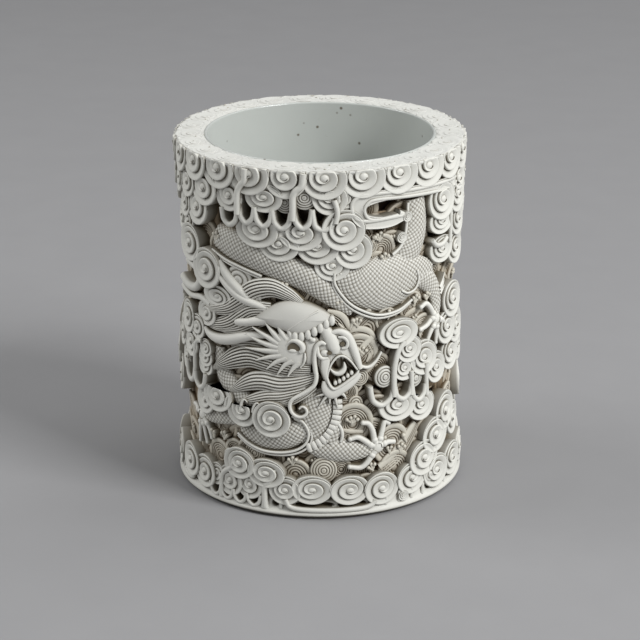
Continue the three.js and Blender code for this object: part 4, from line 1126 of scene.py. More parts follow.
def cloud_bank_right_middle(clay):
    scroll(clay, 30, 68.4, 8.4, 5.6, 5.0, start=20, tilt=(0, -0.02))
    scrolls(clay, [
        (35, 61.4, 5.6, 5.2, 4.3), (42.4, 56.4, 7, 6.6, 4.4), (50, 50.6, 5.6, 6, 4.2),
        (33, 54.4, 5, 4.6, 4.1),
    ])
    scrolls(clay, [(30, 41.0, 8, 6, 4.5)], roof=43.6)
    scrolls(clay, [(41.5, 38.5, 6.8, 6, 4.2)], roof=42.4)
    rings(clay, 24.5, 52.6, 4.2, 4.2, 4.5, 4, 0.9)
    rings(clay, 38.5, 49.4, 4, 3.8, 4.3, 3, 0.9)
    cord(clay, 1.15, 5.7, [(32.2, 65), (29.6, 62), (28.4, 58.5), (27.8, 54), (27.8, 45)])
    cords(clay, 1.0, 5.4, [[(43.4, 54), (43.2, 48), (43.6, 42)], [(35.6, 53), (35.8, 48), (35.6, 44)]])
    festoon(clay, (18.4, 50), (27.8, 48.6), 42.3)
    festoon(clay, (28.4, 48.4), (35.8, 48), 43.0)
    festoon(clay, (36.2, 47), (43, 46.4), 40.9)


def cloud_bank_right_far(clay):
    scrolls(clay, [
        (62, 73.2, 7.6, 6.8, 4.6), (57.4, 63.8, 6.8, 6.4, 4.4), (68, 61.4, 7.6, 6.8, 4.2),
        (62, 52.6, 7.6, 6.6, 4.0), (73.6, 52, 7, 6.2, 3.9),
    ])


def cloud_scrolls_right(clay):
    scrolls_wound_back(clay, [
        (57.5, 31.4, 8, 7.4, 4.4), (50, 24.5, 8.5, 7, 4.7), (43, 17.5, 8, 6.8, 4.9),
        (66, 25.6, 7, 6.4, 4.1),
    ])
    rings(clay, 46.6, 9.6, 4.4, 4.2, 4.9, 3, 0.9)
    scroll(clay, 32.6, 5.4, 2.2, 2.0, 4.9, steps=24)


def tiers(clay, u, v, counts, wide, tall, top):
    """A hanging bank: each tier of lobes sits lower and further back."""
    for tier, count in enumerate(counts):
        for i in range(count):
            across = u + (i - (count - 1) / 2) * 1.8 * wide
            down = v - 1.15 * tall * tier
            scroll(clay, across, down, wide, tall, top - 0.4 * tier, tilt=(0.04, -0.05))


def cloud_bank_back_top(clay):
    tiers(clay, BACK - 40, 117.2, [4, 3, 2], 8.4, 7.0, 4.5)
    tiers(clay, BACK - 84, 117.2, [3, 2], 8.4, 7.0, 4.5)


def cloud_arcade_back(clay):
    for i in range(4):
        festoon(clay, (BACK + 4 + 7.2 * i, 115.4), (BACK + 11.2 + 7.2 * i, 115.4), 109.4)
    cords(clay, 1.0, 5.2, [
        [(u, 112.6), (u, 118), (u + 0.4, 121.4), (u + 2.0, 124), (u + 3.0, 126), (u + 3.2, 129.4)]
        for u in (BACK + 11.2, BACK + 25.6)
    ])
    scrolls(clay, [(BACK + 8 + 12.2 * i, 119.6, 7, 5.4, 4.3) for i in range(3)])
    scrolls(clay, [(BACK + 11 + 12.2 * i, 108.4, 7.4, 5.6, 4.1) for i in range(2)])


def cloud_bank_back_right(clay):
    tiers(clay, BACK + 58, 117.2, [4, 3, 2], 8.4, 7.0, 4.5)


def cloud_bank_back_low(clay):
    tiers(clay, BACK - 24, 46, [1, 2, 1], 8.6, 7.4, 4.8)


def cloud_bank_back_side(clay):
    tiers(clay, BACK + 62, 64, [1, 2, 1], 8.8, 7.4, 4.8)
    tiers(clay, BACK + 82, 48, [1, 2], 8.0, 7.0, 4.4)


def cloud_scrolls_back(clay):
    scrolls(clay, behind([(-76, 33, 8, 7.2, 4.6), (-66, 25.4, 8, 7, 4.7), (-55, 18.6, 8, 6.4, 4.8)]))


def cloud_scrolls_back_right(clay):
    scrolls_wound_back(clay, behind([
        (34, 30, 8, 7.2, 4.6), (24, 23.6, 8, 7, 4.7), (13, 17.8, 8, 6.2, 4.8),
    ]))


def level_rim(piece):
    """Cuts the rim's row of lobes flat just under the rim's carved top."""
    shape = bmesh.new()
    shape.from_mesh(piece.data)
    everything = shape.verts[:] + shape.edges[:] + shape.faces[:]
    level = (0, 0, (RIM_TOP - 0.1) * MM)
    bmesh.ops.bisect_plane(shape, geom=everything, plane_co=level, plane_no=(0, 0, 1), clear_outer=True)
    bmesh.ops.holes_fill(shape, edges=[edge for edge in shape.edges if edge.is_boundary])
    shape.to_mesh(piece.data)
    shape.free()


def make_clouds():
    """The rows, strands and banks of cloud."""
    level_rim(carve(cloud_rim_row, CLOUD_CLAY))
    for fill in (
        cloud_base_row, cloud_sprig_left, cloud_sprig_right, cloud_bank_top, cloud_arcade_top,
        cloud_strap, cloud_bank_left_top, cloud_bank_left_upper, cloud_bank_left_middle,
        cloud_bank_left_lower, cloud_bank_right_top, cloud_bank_right_middle, cloud_bank_right_far,
        cloud_scrolls_right, cloud_bank_back_top, cloud_arcade_back, cloud_bank_back_right,
        cloud_bank_back_low, cloud_bank_back_side, cloud_scrolls_back, cloud_scrolls_back_right,
    ):
        carve(fill, CLOUD_CLAY)


# The dragon

def closed_smooth(points, count=72):
    """Evenly spaced points on a smooth closed curve."""
    path = smooth([*points, points[0]], 0.2)
    picks = np.linspace(0, len(path) - 1, count, endpoint=False).astype(int)
    return path[picks, :2]


def dragon_forehead(clay):
    outline = closed_smooth([
        (-24.6, 75.2), (-20.4, 78.6), (-15, 81.8), (-10, 83.0), (-5, 82.2), (0, 80.2), (3.5, 78.1),
        (5.4, 76), (3.4, 75.4), (-1, 72.8), (-5, 70.9), (-9, 70.3), (-13, 71.4), (-18, 72.6),
    ])
    pad(clay, outline, (-8, 76.4), dome_rows(5.6, 1.9, 0.2, 12))
    beads = [
        (4.2, 75.8), (2.2, 74.6), (0.1, 73.1), (-2.0, 71.8), (-4.3, 70.6), (-6.6, 69.7), (-8.9, 69.6),
    ]
    for u, v in beads:
        bead(clay, u, v + 0.2, 1.2, 2.0, 5.4, 0.8, 18)
    sweep(clay, [
        (-17, 75.4, 2.2, 4.6), (-22, 74.2, 2.1, 4.9), (-27, 72.9, 1.6, 5.0), (-31, 72.2, 1.5, 5.0),
        (-32.6, 72.0, 0.9, 4.7),
    ])
    sweep(clay, [
        (-11.4, 72.2, 0.28, 5.15), (-8, 74.8, 0.3, 5.68), (-3, 78.4, 0.3, 5.58),
        (-0.6, 79.6, 0.28, 5.1),
    ], step=0.5)


def dragon_eye_plate(clay):
    outline = closed_smooth([
        (-18, 66), (-16.6, 69.4), (-13, 70.8), (-9.6, 69.6), (-6.4, 67.8), (-5.2, 63.6), (-5.6, 60.4),
        (-6.7, 58.6), (-9.6, 59), (-13, 60), (-16.8, 62.6),
    ])
    pad(clay, outline, (-11.4, 65), dome_rows(5.0, 0.55, 0.15, 8))
    for path in (
        [(-12.0, 68.4), (-14.2, 71.2), (-15.5, 74.2)],
        [(-9.5, 68.2), (-11.0, 71), (-12.0, 73.4)],
        [(-14.4, 67.8), (-17.4, 70.8), (-19.8, 73.8)],
        [(-15.0, 66.6), (-20, 69), (-25, 71.6)],
        [(-15.2, 65.2), (-21, 66.2), (-28, 68.6)],
        [(-15, 63.8), (-21, 63.4), (-28, 63.4)],
        [(-13.8, 62.4), (-18.6, 61.2), (-23.8, 59.4)],
        [(-12.0, 61.6), (-15.8, 59.8), (-19.6, 56.6)],
        [(-9.8, 60.8), (-12.8, 58.8), (-15.4, 55.2)],
        [(-7.4, 60.2), (-9.6, 58), (-11.6, 54.8)],
    ):
        spike(clay, 1.65, 5.05, path, 0.3)
    bead(clay, -2.6, 68.8, 1.3, 1.15, 5.2)
    sweep(clay, [(-5.2, 70.8, 0.5, 4.8), (-3.8, 69.8, 0.8, 5.0), (-2.6, 68.8, 0.8, 5.0)])
    bridge = closed_smooth([
        (-6, 69), (-3, 70), (-0.6, 69), (0.2, 66), (-0.8, 62), (-2.4, 59.6), (-5, 59.4), (-5.6, 64),
    ], 36)
    pad(clay, bridge, (-3, 65), dome_rows(4.4, 0.7, 0.1, 6))
    hollow = closed_smooth([
        (-11.6, 65.0), (-11.2, 66.5), (-9.9, 67.4), (-8.3, 67.2), (-7.3, 66.0), (-7.4, 64.9),
        (-9.4, 64.6),
    ], 32)
    pad(clay, hollow, (-9.4, 65.8), [(1, SUNK, 1), (1, 5.2, 1), (0.5, 5.1, 1)])
    bead(clay, -9.7, 64.6, 2.1, 0.95, 5.35, 0.7, 20)
    sweep(clay, [
        (-12.6, 65.4, 0.2, 4.9), (-11.4, 67.3, 0.4, 5.3), (-9.8, 68.4, 0.75, 5.6),
        (-7.9, 68.2, 1.1, 5.8), (-6.3, 66.7, 1.2, 5.8), (-6.2, 65.0, 1.05, 5.7), (-7.1, 64.2, 0.8, 5.5),
    ], step=0.5)
    sweep(clay, [
        (-5.4, 64.0, 0.3, 5.0), (-5.3, 62, 0.5, 5.3), (-5.8, 60, 0.4, 5.1), (-7, 58.4, 0.3, 4.9),
    ])


def dragon_snout(clay):
    face = closed_smooth([
        (1.0, 73.6), (4.6, 72.2), (8.4, 71.2), (11.2, 67.4), (13.6, 60), (14.6, 57.2), (13.4, 57.2),
        (10.9, 60.6), (8.6, 62.4), (6.4, 62.5), (4.2, 60.2), (2.9, 56.6), (2.4, 53.4), (1.6, 53),
        (0.2, 56.4), (-1.0, 60.4), (-1.0, 65), (0, 70),
    ])
    pad(clay, face, (5.4, 66.4), dome_rows(4.5, 0.5, 0.1, 7))
    cheek = closed_smooth([
        (0.4, 62.8), (3.4, 62.2), (3.4, 58.6), (3.0, 54.6), (2.8, 52.4), (1.4, 54.2), (0.2, 58),
    ], 40)
    pad(clay, cheek, (1.9, 58.6), dome_rows(5.3, 0.6, 0.1, 6))
    sweep(clay, [
        (0.4, 75.0, 1.4, 4.6), (2.2, 71.8, 2.2, 5.2), (4.0, 68.6, 2.6, 5.6), (5.2, 65.6, 2.3, 5.8),
        (5.3, 63.9, 1.4, 5.5),
    ], crown=0.6)
    bead(clay, 1.7, 63.9, 2.0, 1.6, 5.4)
    sweep(clay, [
        (-0.8, 66.4, 0.5, 5.0), (-0.6, 63.6, 0.8, 5.4), (0.9, 62.0, 0.8, 5.4), (3.0, 62.2, 0.6, 5.2),
    ])
    sweep(clay, [
        (6.4, 69.8, 0.5, 5.0), (8.4, 69.6, 0.7, 5.4), (9.8, 67.9, 0.8, 5.4), (9.3, 65.9, 0.8, 5.3),
        (7.6, 65.6, 0.5, 5.1),
    ], step=0.5)
    sweep(clay, [
        (3.8, 71.4, 0.8, 5.0), (7.0, 71.8, 1.2, 5.3), (9.9, 70.0, 1.5, 5.4), (11.6, 66.2, 1.7, 5.4),
        (13.2, 61.8, 1.5, 5.4), (14.6, 57.4, 0.9, 5.2),
    ], crown=0.8)
    sweep(clay, [
        (2.3, 54.6, 0.3, 5.1), (3.1, 57.6, 0.4, 5.3), (4.2, 60.2, 0.4, 5.3), (5.8, 62.2, 0.45, 5.2),
        (7.4, 62.8, 0.45, 5.1), (9.0, 62.3, 0.45, 5.1), (11.0, 60.5, 0.4, 5.1), (13.4, 57.2, 0.35, 5.1),
    ], step=0.4)
    for u, v in ((3.3, 64.2), (7.9, 67.4)):
        pad(clay, ring_points(u, v, 0.85, 0.7, 12), (u, v), [(1, SUNK, 1), (1, 5.5, 1), (0.5, 5.5, 1)])
    for u, v in ((5.6, 61.2), (7.0, 61.9), (8.4, 61.8)):
        bead(clay, u, v, 0.55, 0.7, 3.6, 0.4, 10)


def dragon_jaw(clay):
    sweep(clay, [
        (1.5, 53.4, 0.7, 4.7), (2.0, 50.6, 1.6, 4.9), (4.2, 48.6, 2.1, 5.0), (7.6, 50.0, 1.7, 5.0),
        (10.8, 51.9, 1.5, 4.9), (13.4, 54.0, 1.1, 4.8), (14.6, 55.6, 0.5, 4.7),
    ], crown=0.3, step=0.5)
    sweep(clay, [
        (2.4, 55.6, 0.4, 5.1), (2.9, 53.2, 0.5, 5.3), (4.0, 51.2, 0.55, 5.4), (5.4, 50.5, 0.55, 5.4),
        (7.9, 51.8, 0.55, 5.4), (10.5, 53.6, 0.55, 5.4), (13.1, 55.5, 0.55, 5.3),
        (13.9, 57.0, 0.4, 5.1),
    ], step=0.4)
    for u, v in ((5.5, 52.5), (7.0, 53.1), (8.5, 54.0), (10.0, 55.0), (11.4, 56.0)):
        bead(clay, u, v, 0.72, 0.95, 4.7, 0.35, 12)


def dragon_tongue(clay):
    sweep(clay, [
        (3.4, 58.1, 0.2, 4.2), (4.9, 56.5, 0.6, 4.6), (6.5, 55.9, 0.95, 4.8), (8.0, 56.5, 1.1, 4.8),
        (8.9, 58.0, 0.85, 4.6), (8.7, 60.2, 0.25, 4.2),
    ], step=0.4)


def dragon_mouth(clay):
    outline = closed_smooth([
        (3, 58.5), (4.3, 61.6), (7.5, 63), (10.2, 62), (12.4, 59), (13.8, 56.4), (12.8, 53.8),
        (6, 50.6), (4.2, 52.3), (2.8, 55),
    ])
    pad(clay, outline, (8, 57), [(1, SUNK - 1, 1), (1, 1.0, 0.6), (0.6, 0.4, 0.3), (0.1, 0.2, 0.3)])


def dragon_beard(clay):
    for path in (
        [(4.4, 49), (1.6, 48.4), (-1.6, 47.4)],
        [(4.4, 49), (1.8, 46.8), (-0.6, 43.4)],
        [(4.6, 49), (3.6, 46.8), (3.5, 44.4)],
        [(5.0, 49), (5.6, 46.4), (6.4, 43)],
        [(6.4, 49.2), (8.6, 47.8), (9.6, 46)],
    ):
        spike(clay, 1.0, 4.8, path)


def dragon_horn_upper(clay):
    sweep(clay, [
        (-19, 78.6, 1.0, 3.8), (-24.6, 80.0, 1.6, 4.6), (-28, 80.8, 1.9, 5.0), (-32, 82.2, 1.9, 5.0),
        (-36, 84.6, 1.7, 5.0), (-39, 87, 1.2, 4.9), (-41, 89, 0.5, 4.6),
    ])


def dragon_horn_lower(clay):
    sweep(clay, [
        (-20, 68.6, 1.2, 4.0), (-25.4, 68, 1.7, 4.7), (-30, 66.6, 2.0, 5.1), (-34, 65.2, 2.1, 5.2),
        (-38.6, 64.0, 2.1, 5.2), (-43, 63.6, 1.9, 5.0), (-46.6, 64.4, 1.4, 4.8),
        (-48.8, 66.2, 0.7, 4.5),
    ])


def dragon_whisker_left(clay):
    sweep(clay, [
        (2, 67.2, 0.7, 5.2), (0.5, 67.9, 0.9, 5.3), (-1.3, 66.4, 0.95, 5.3), (-2, 62, 0.9, 5.3),
        (-1.7, 58, 0.9, 5.3), (-1.3, 55, 0.85, 5.3), (-2, 52, 0.8, 5.3), (-4, 50, 0.8, 5.2),
        (-7, 48, 0.75, 5.2), (-10, 46, 0.7, 5.2), (-10.9, 43.5, 0.7, 5.2), (-10, 41, 0.65, 5.2),
        (-8, 39.7, 0.65, 5.2), (-6, 39.9, 0.6, 5.2), (-4.7, 41.3, 0.6, 5.1), (-5.1, 43, 0.5, 5.1),
        (-6.5, 43.6, 0.45, 5.0), (-7.5, 42.7, 0.4, 4.9),
    ], step=0.5)


def dragon_whisker_right(clay):
    sweep(clay, [
        (13.8, 58.6, 0.6, 4.9), (17.5, 57.4, 0.65, 4.6), (20.5, 59, 0.6, 4.4), (23, 62.5, 0.4, 4.2),
    ])


# Each lock of the mane: strands, top, and its path with the half width at each place.
LOCKS = [
    (7, 4.4, [
        (-6.6, 82.0, 1.4), (-11.6, 84.8, 2.6), (-18, 86.6, 3.6), (-25, 84.8, 4.0), (-31, 80.4, 3.8),
        (-37, 76.4, 3.0), (-44, 74.4, 1.8), (-49, 75.4, 0.5),
    ]),
    (7, 4.1, [
        (-18, 78.6, 2.6), (-26, 77.6, 3.4), (-31, 74.6, 3.6), (-35.6, 71.2, 3.4), (-41, 69.0, 2.8),
        (-47, 68.6, 1.8), (-52, 70.6, 0.5),
    ]),
    (8, 4.2, [
        (-3.4, 57.4, 2.8), (-12, 57.8, 4.0), (-20, 59.2, 4.6), (-27, 60.0, 4.8), (-33, 58.2, 4.4),
        (-39, 55.0, 2.8), (-45, 51.4, 0.6),
    ]),
    (6, 4.1, [
        (-1.6, 54.4, 2.2), (-8, 52.2, 3.2), (-15, 50.8, 3.8), (-22, 51.2, 3.8), (-28, 49.6, 3.2),
        (-36.6, 44.6, 0.6),
    ]),
    (5, 3.8, [(-5, 49.4, 2.0), (-14, 46.6, 2.6), (-20, 45.6, 2.6), (-25, 44.0, 2.2), (-33, 41, 0.5)]),
]
EXTRA_LOCKS = [
    (6, 3.6, [
        (-20, 74.6, 2.0), (-27, 72.0, 2.8), (-32, 69.4, 2.6), (-38, 67.6, 1.4), (-44, 67.2, 0.4),
    ]),
    (5, 3.6, [(-22, 82.6, 1.8), (-29, 83.2, 2.4), (-34, 79.6, 2.2), (-40, 77.8, 1.0)]),
    (5, 3.2, [(-12, 62.6, 2.4), (-20, 63.8, 2.8), (-28, 64.0, 2.2), (-36, 62.4, 1.0)]),
    (4, 3.6, [(-2, 51, 1.6), (-6, 47.8, 1.9), (-12, 44, 1.4), (-17, 42.6, 0.4)]),
]


def mane_lock(clay, strands, top, path):
    """A lock of hair that sinks at its tip, along a path of (u, v, half width)."""
    rows = [(u, v, half, top - 0.5 * (i == len(path) - 1)) for i, (u, v, half) in enumerate(path)]
    sweep(clay, rows, comb_section(strands), crown=0.9, step=0.6)


def claws(clay, palm, fingers, top, root, taper):
    """A paw: a round palm and fingers that end in claws."""
    u, v, size = palm
    bead(clay, u, v, size, size, top, 0.5 * size, 24)
    for path in fingers:
        first = path[0]
        inside = ((u + first[0]) / 2, (v + first[1]) / 2)
        spike(clay, root, top + 0.3, [inside, *path], 0.7, 0.5, taper)
        bead(clay, *first, root * 1.08, root * 1.08, top + 0.4)
        tip = root * (1 - taper)
        bead(clay, *path[-1], 1.12 * tip, 1.12 * tip, top - 0.3)


def dragon_forepaw(clay):
    claws(clay, (21.8, 26.6, 3.0), [
        [(19, 27.5), (16.5, 29.5), (14, 30.9), (11.2, 30.4)],
        [(20.5, 29.2), (19.7, 33), (18.2, 35.6), (16, 36.2)],
        [(22.8, 29.4), (23.6, 32.2), (24.7, 35.4), (26.3, 34.6)],
        [(24.4, 27.2), (26.4, 27.4), (28.6, 27)], [(19.6, 23.5), (17.5, 20.6), (15, 19.1), (11, 19.7)],
    ], top=4.6, root=1.35, taper=0.35)


def dragon_foreleg(clay):
    hide(clay, [
        (-3.6, 26.6, 2.0, 3.0), (0, 26.6, 4.0, 3.6), (5, 26.4, 4.9, 4.0), (11, 25.6, 4.3, 4.1),
        (16, 25.4, 3.3, 4.2), (21.6, 26.2, 2.4, 4.2),
    ])
    sweep(clay, [
        (6.4, 37, 0.5, 3.6), (7.9, 34.4, 0.7, 4.0), (8.2, 31.6, 0.7, 4.0), (7.6, 29.6, 0.5, 3.8),
    ])
    hide(clay, [(6.4, 40, 0.8, 3.2), (6.2, 36.5, 1.8, 3.7), (5.4, 33, 2.6, 3.9), (3.2, 29.4, 3.0, 3.9)])


def dragon_far_paw(clay):
    claws(clay, (-53, 31, 2.7), [
        [(-54, 28), (-54.8, 24), (-55, 20.2)], [(-51.8, 27.8), (-51, 24.6), (-50, 21)],
        [(-49.4, 28.6), (-48, 26.4), (-47, 23.6)], [(-55.6, 32.2), (-57.6, 33.2), (-59.4, 33.2)],
    ], top=3.9, root=1.2, taper=0.4)


def dragon_far_foreleg(clay):
    hide(clay, [(-35, 34, 2.4, 2.8), (-42, 33, 2.9, 3.3), (-47, 32, 2.7, 3.4), (-51, 31.4, 2.2, 3.5)])


def dragon_shoulder(clay):
    hide(clay, [
        (-32, 30.4, 1.4, 2.6), (-27, 30, 3.6, 3.3), (-21, 30.2, 5.2, 3.9), (-15, 31.4, 6.2, 4.2),
        (-9.6, 32.6, 5.2, 4.0), (-5.6, 33.6, 3.0, 3.4),
    ], crown=0.45)
    rim = [
        (-10.4, 39.4), (-6.4, 37.4), (-4.2, 33.4), (-5.2, 29.2), (-9, 26.3), (-15, 24.9), (-22, 24.9),
        (-28, 26.8), (-32.4, 29.6),
    ]
    cord(clay, 0.5, 4.0, rim)
    cord(clay, 0.45, 3.6, [(u * 0.985 + 0.4 + 0.06 * (u + 15), v - 1.05) for u, v in rim])


def belly_ribs(clay, points):
    """Short ribs side by side across a line."""
    edge = smooth(points, 2.0)
    for a, b in zip(edge, edge[1:]):
        middle = (a + b) / 2
        run = (b - a) / np.linalg.norm(b - a)
        side = 1.7 * np.array([-run[1], run[0]])
        rows = [(*(middle - side), 0.85, 3.6), (*middle, 1.05, 3.9), (*(middle + side), 0.85, 3.6)]
        sweep(clay, rows, step=0.5, crown=0.5)


def dragon_chest(clay):
    hide(clay, [
        (2.4, 48.6, 3.0, 3.0), (0, 44, 6.2, 3.7), (-2, 38.6, 7.6, 3.9), (-3.6, 33, 6.0, 3.6),
        (-5, 28.4, 2.6, 2.8),
    ], crown=0.4)
    belly_ribs(clay, [
        (6.4, 46), (6.6, 42.6), (6.0, 38.6), (4.6, 34.6), (2.2, 31.4), (-1.6, 28.6), (-5, 27.2),
    ])


def dragon_neck(clay):
    hide(clay, [
        (-42.6, 60, 2.4, 2.8), (-42.4, 55, 3.4, 3.1), (-40.6, 50, 4.0, 3.3), (-36.6, 46, 4.2, 3.4),
        (-30, 42, 4.0, 3.2), (-24, 40.4, 3.0, 2.8),
    ])


def dragon_back_coil(clay):
    spine = [
        (-44, 101, 5.0, 2.8), (-37, 99.6, 5.8, 3.4), (-30, 98.3, 6.0, 3.7), (-18, 95.3, 5.8, 3.9),
        (-5, 90.6, 5.2, 3.8), (4, 84.6, 4.2, 3.5), (12.4, 78.6, 2.8, 3.0),
    ]
    hide(clay, spine)
    border = smooth(spine, 1.0)
    for share, half, top in ((0.98, 0.5, 3.4), (1.16, 0.45, 3.0)):
        u, v = beside(border, border[:, 2:3] * share)
        sweep(clay, [(a, b, half, top) for a, b in zip(u[::3, 0], v[::3, 0]) if a < -21])


def dragon_haunch(clay):
    hide(clay, [
        (5.6, 93, 2.0, 3.0), (9, 90.4, 5.4, 3.7), (14, 88, 8.2, 4.3), (22, 87.2, 10.4, 4.7),
        (30, 88, 10.4, 4.6), (37, 88.8, 7.8, 4.2), (43, 88.6, 5.2, 3.8), (47.6, 88, 3.4, 3.4),
    ], crown=0.4)
    rim = [(5.2, 93), (5.6, 88.6), (9.8, 82.6), (15, 78.8), (22, 76.2), (30, 76.6), (36.4, 79.4)]
    cord(clay, 0.5, 3.9, rim)
    cord(clay, 0.5, 3.4, [(u - 0.5, v - 1.2) for u, v in rim])
    cord(clay, 0.4, 4.5, [(31, 84), (34, 82.6), (37.4, 83.6), (39, 87), (38, 90.4)])


def dragon_rising_body(clay):
    hide(clay, [
        (34, 94, 5.4, 3.4), (36.6, 98, 6.6, 3.8), (39, 104, 6.4, 3.9), (39.4, 110, 5.6, 3.8),
        (38.8, 116.4, 4.9, 3.6),
    ])
    cord(clay, 0.6, 3.7, [(27.6, 97.6), (31, 100), (33, 104), (33.8, 110), (34.2, 115.6)])


def dragon_hind_leg(clay):
    hide(clay, [
        (40.4, 88, 4.6, 3.8), (45.6, 84.6, 4.4, 4.0), (49.6, 79.8, 3.6, 4.1), (50.8, 75, 3.0, 4.1),
        (50.4, 70.6, 2.4, 4.1),
    ])
    for lean in (-1.2, 0.0, 1.2):
        spike(clay, 0.8, 4.3, [(52, 79 + lean), (54, 80.6 + 1.4 * lean), (55.6, 82.6 + 2 * lean)])


def dragon_hind_paw(clay):
    claws(clay, (50, 68.8, 2.8), [
        [(48, 71.4), (46, 74.4), (43.8, 76.2), (41.2, 75.4)], [(47.4, 69.8), (44.4, 67.8), (41, 67)],
        [(48, 66.6), (46.4, 64.4), (45, 61.8)], [(50.2, 66), (50.4, 63), (50.2, 59.8)],
        [(52.6, 68), (55, 66.8), (57, 64.6)],
    ], top=4.4, root=1.3, taper=0.35)


def dragon_loin(clay):
    spine = behind([
        (-94, 103.8, 5.6, 3.4), (-84, 97, 7.2, 4.1), (-72, 87.4, 8.0, 4.4), (-58, 80, 8.2, 4.5),
        (-43, 78, 7.9, 4.4), (-28, 83, 7.2, 4.3),
    ])
    hide(clay, spine, crown=0.45)
    cord(clay, 0.7, 3.7, behind([(-88, 91), (-76, 80), (-61, 71.6), (-43, 69.6), (-26, 75)]))


def dragon_tail_root(clay):
    hide(clay, behind([
        (-29, 82.6, 7.2, 4.3), (-15, 90.6, 6.8, 4.3), (0, 95, 6.2, 4.2), (15, 92.6, 5.6, 4.1),
        (27.6, 83.4, 5, 4.0),
    ]), crown=0.5)


def dragon_tail_tip(clay):
    hide(clay, behind([
        (27, 84, 4.9, 4.0), (33.6, 73, 4.2, 4.0), (32, 61.4, 3.4, 3.9), (22, 56, 2.6, 3.8),
        (12, 59.4, 1.8, 3.7),
    ]))


def dragon_tail_tuft(clay):
    for path, strands in (
        ([(13, 59.6, 1.2), (7, 63.6, 2.2), (0, 66, 1.8), (-7, 65, 0.4)], 5),
        ([(13, 59.2, 1.0), (6, 60, 2.0), (-1, 59.4, 1.6), (-8, 56.6, 0.4)], 5),
        ([(13, 60, 1.0), (9, 66, 1.9), (3, 71, 1.5), (-4, 73, 0.4)], 5),
    ):
        mane_lock(clay, strands, 4.2, behind(path))


def dragon_rear_leg(clay):
    hide(clay, behind([
        (-56, 74, 5.6, 3.9), (-56, 66, 5.0, 4.2), (-61, 58, 3.9, 4.2), (-68, 54.6, 3.0, 4.1),
        (-75, 53.4, 2.4, 4.1),
    ]))


def dragon_rear_paw(clay):
    fingers = [
        [(-78.6, 55.6), (-81, 58.6), (-84.4, 61.4)], [(-79.8, 53.4), (-84, 54.2), (-88, 53.4)],
        [(-79, 50.8), (-82, 48.4), (-85, 45)], [(-76.6, 50), (-76.4, 46.6), (-78, 42.4)],
    ]
    claws(clay, (BACK - 77, 53, 3.0), [behind(path) for path in fingers], top=4.4, root=1.35, taper=0.4)


def make_dragon():
    """The dragon, with its mouth's dark ground, its mane and some small locks that stand for no node."""
    for fill in (
        dragon_forehead, dragon_eye_plate, dragon_snout, dragon_jaw, dragon_tongue, dragon_beard,
        dragon_horn_upper, dragon_horn_lower, dragon_whisker_left, dragon_whisker_right,
        dragon_forepaw, dragon_foreleg, dragon_far_paw, dragon_far_foreleg, dragon_shoulder,
        dragon_chest, dragon_neck, dragon_back_coil, dragon_haunch, dragon_rising_body,
        dragon_hind_leg, dragon_hind_paw, dragon_loin, dragon_tail_root, dragon_tail_tip,
        dragon_tail_tuft, dragon_rear_leg, dragon_rear_paw,
    ):
        carve(fill, DRAGON_CLAY)
    carve(dragon_mouth, MOUTH_CLAY)
    for number, lock in enumerate(LOCKS, 1):
        clay = Clay()
        mane_lock(clay, *lock)
        clay.stand_for(f"dragon_mane_lock_{number}", DRAGON_CLAY)
    clay = Clay()
    for lock in EXTRA_LOCKS:
        mane_lock(clay, *lock)
    clay.build("mane_small_locks", DRAGON_CLAY, "biscuit_porcelain")


# Studio

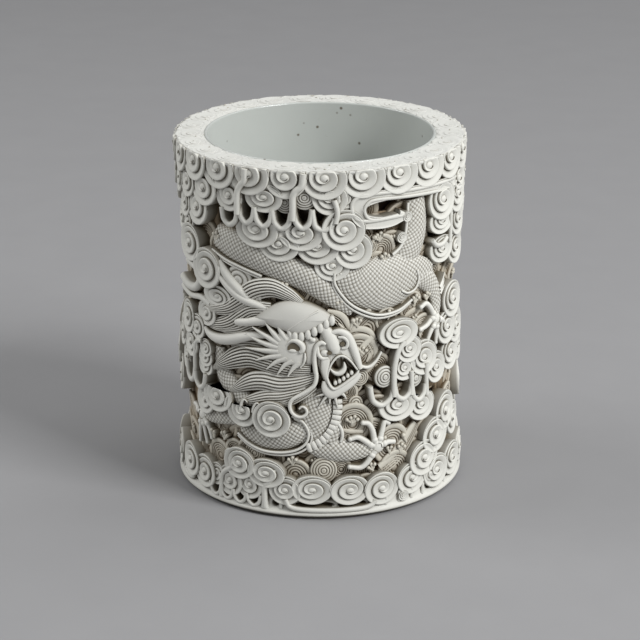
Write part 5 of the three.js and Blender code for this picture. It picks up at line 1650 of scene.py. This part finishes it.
def make_stage():
    """A plain grey floor that runs on behind the pot."""
    mesh = bpy.data.meshes.new("floor")
    corners = [(FLOOR_REACH * x, FLOOR_REACH * y, 0) for x, y in ((-1, -1), (1, -1), (1, 1), (-1, 1))]
    mesh.from_pydata(corners, [], [(0, 1, 2, 3)])
    floor = bpy.data.objects.new("floor", mesh)
    bpy.context.scene.collection.objects.link(floor)
    nodes = Shades("studio_grey")
    shade = nodes.ramp(nodes.noise(40.0), 0.3, 0.7)
    nodes.link(nodes.mix(shade, FLOOR_DARK, FLOOR_LIGHT), nodes.shader.inputs["Base Color"])
    nodes.shader.inputs["Roughness"].default_value = 0.9
    far = nodes.ramp(nodes.radius(), FLOOR_NEAR, FLOOR_FAR)
    seen = nodes.product(far, nodes.add("ShaderNodeLightPath").outputs["Is Camera Ray"])
    haze = nodes.add("ShaderNodeEmission")
    haze.inputs["Color"].default_value = (STUDIO_GREY, STUDIO_GREY, STUDIO_GREY, 1)
    blend = nodes.add("ShaderNodeMixShader")
    nodes.link(seen, blend.inputs[0])
    nodes.link(nodes.shader.outputs[0], blend.inputs[1])
    nodes.link(haze.outputs[0], blend.inputs[2])
    nodes.link(blend.outputs[0], nodes.tree.nodes["Material Output"].inputs["Surface"])
    floor.data.materials.append(nodes.material)


def aim(item, target):
    """Turns a lamp towards a place."""
    direction = mathutils.Vector(target) - item.location
    item.rotation_euler = direction.to_track_quat("-Z", "Y").to_euler()


def lamp(name, place_at, size, power):
    """A square lamp that shines on the pot."""
    data = bpy.data.lights.new(name, "AREA")
    data.size = size
    data.energy = power
    item = bpy.data.objects.new(name, data)
    item.location = place_at
    bpy.context.scene.collection.objects.link(item)
    aim(item, LAMP_TARGET)


def make_lights_and_camera():
    """The studio's lamps and backdrop, and the photograph's camera."""
    scene = bpy.context.scene
    for values in LAMPS:
        lamp(*values)
    world = bpy.data.worlds.new("studio")
    world.use_nodes = True
    backdrop = world.node_tree.nodes["Background"]
    backdrop.inputs["Color"].default_value = (1, 1, 1, 1)
    backdrop.inputs["Strength"].default_value = STUDIO_GREY
    scene.world = world
    data = bpy.data.cameras.new("camera")
    data.lens = CAMERA_LENS
    data.sensor_width = CAMERA_SENSOR
    data.clip_end = 20
    camera = bpy.data.objects.new("camera", data)
    camera.location = CAMERA_PLACE
    camera.rotation_euler = (math.radians(90 - CAMERA_PITCH), 0, 0)
    scene.collection.objects.link(camera)
    scene.camera = camera
    scene.view_settings.view_transform = "Standard"


make_liner()
make_foot()
make_rim()
make_wall()
make_waves()
make_clouds()
make_dragon()

make_stage()
make_lights_and_camera()
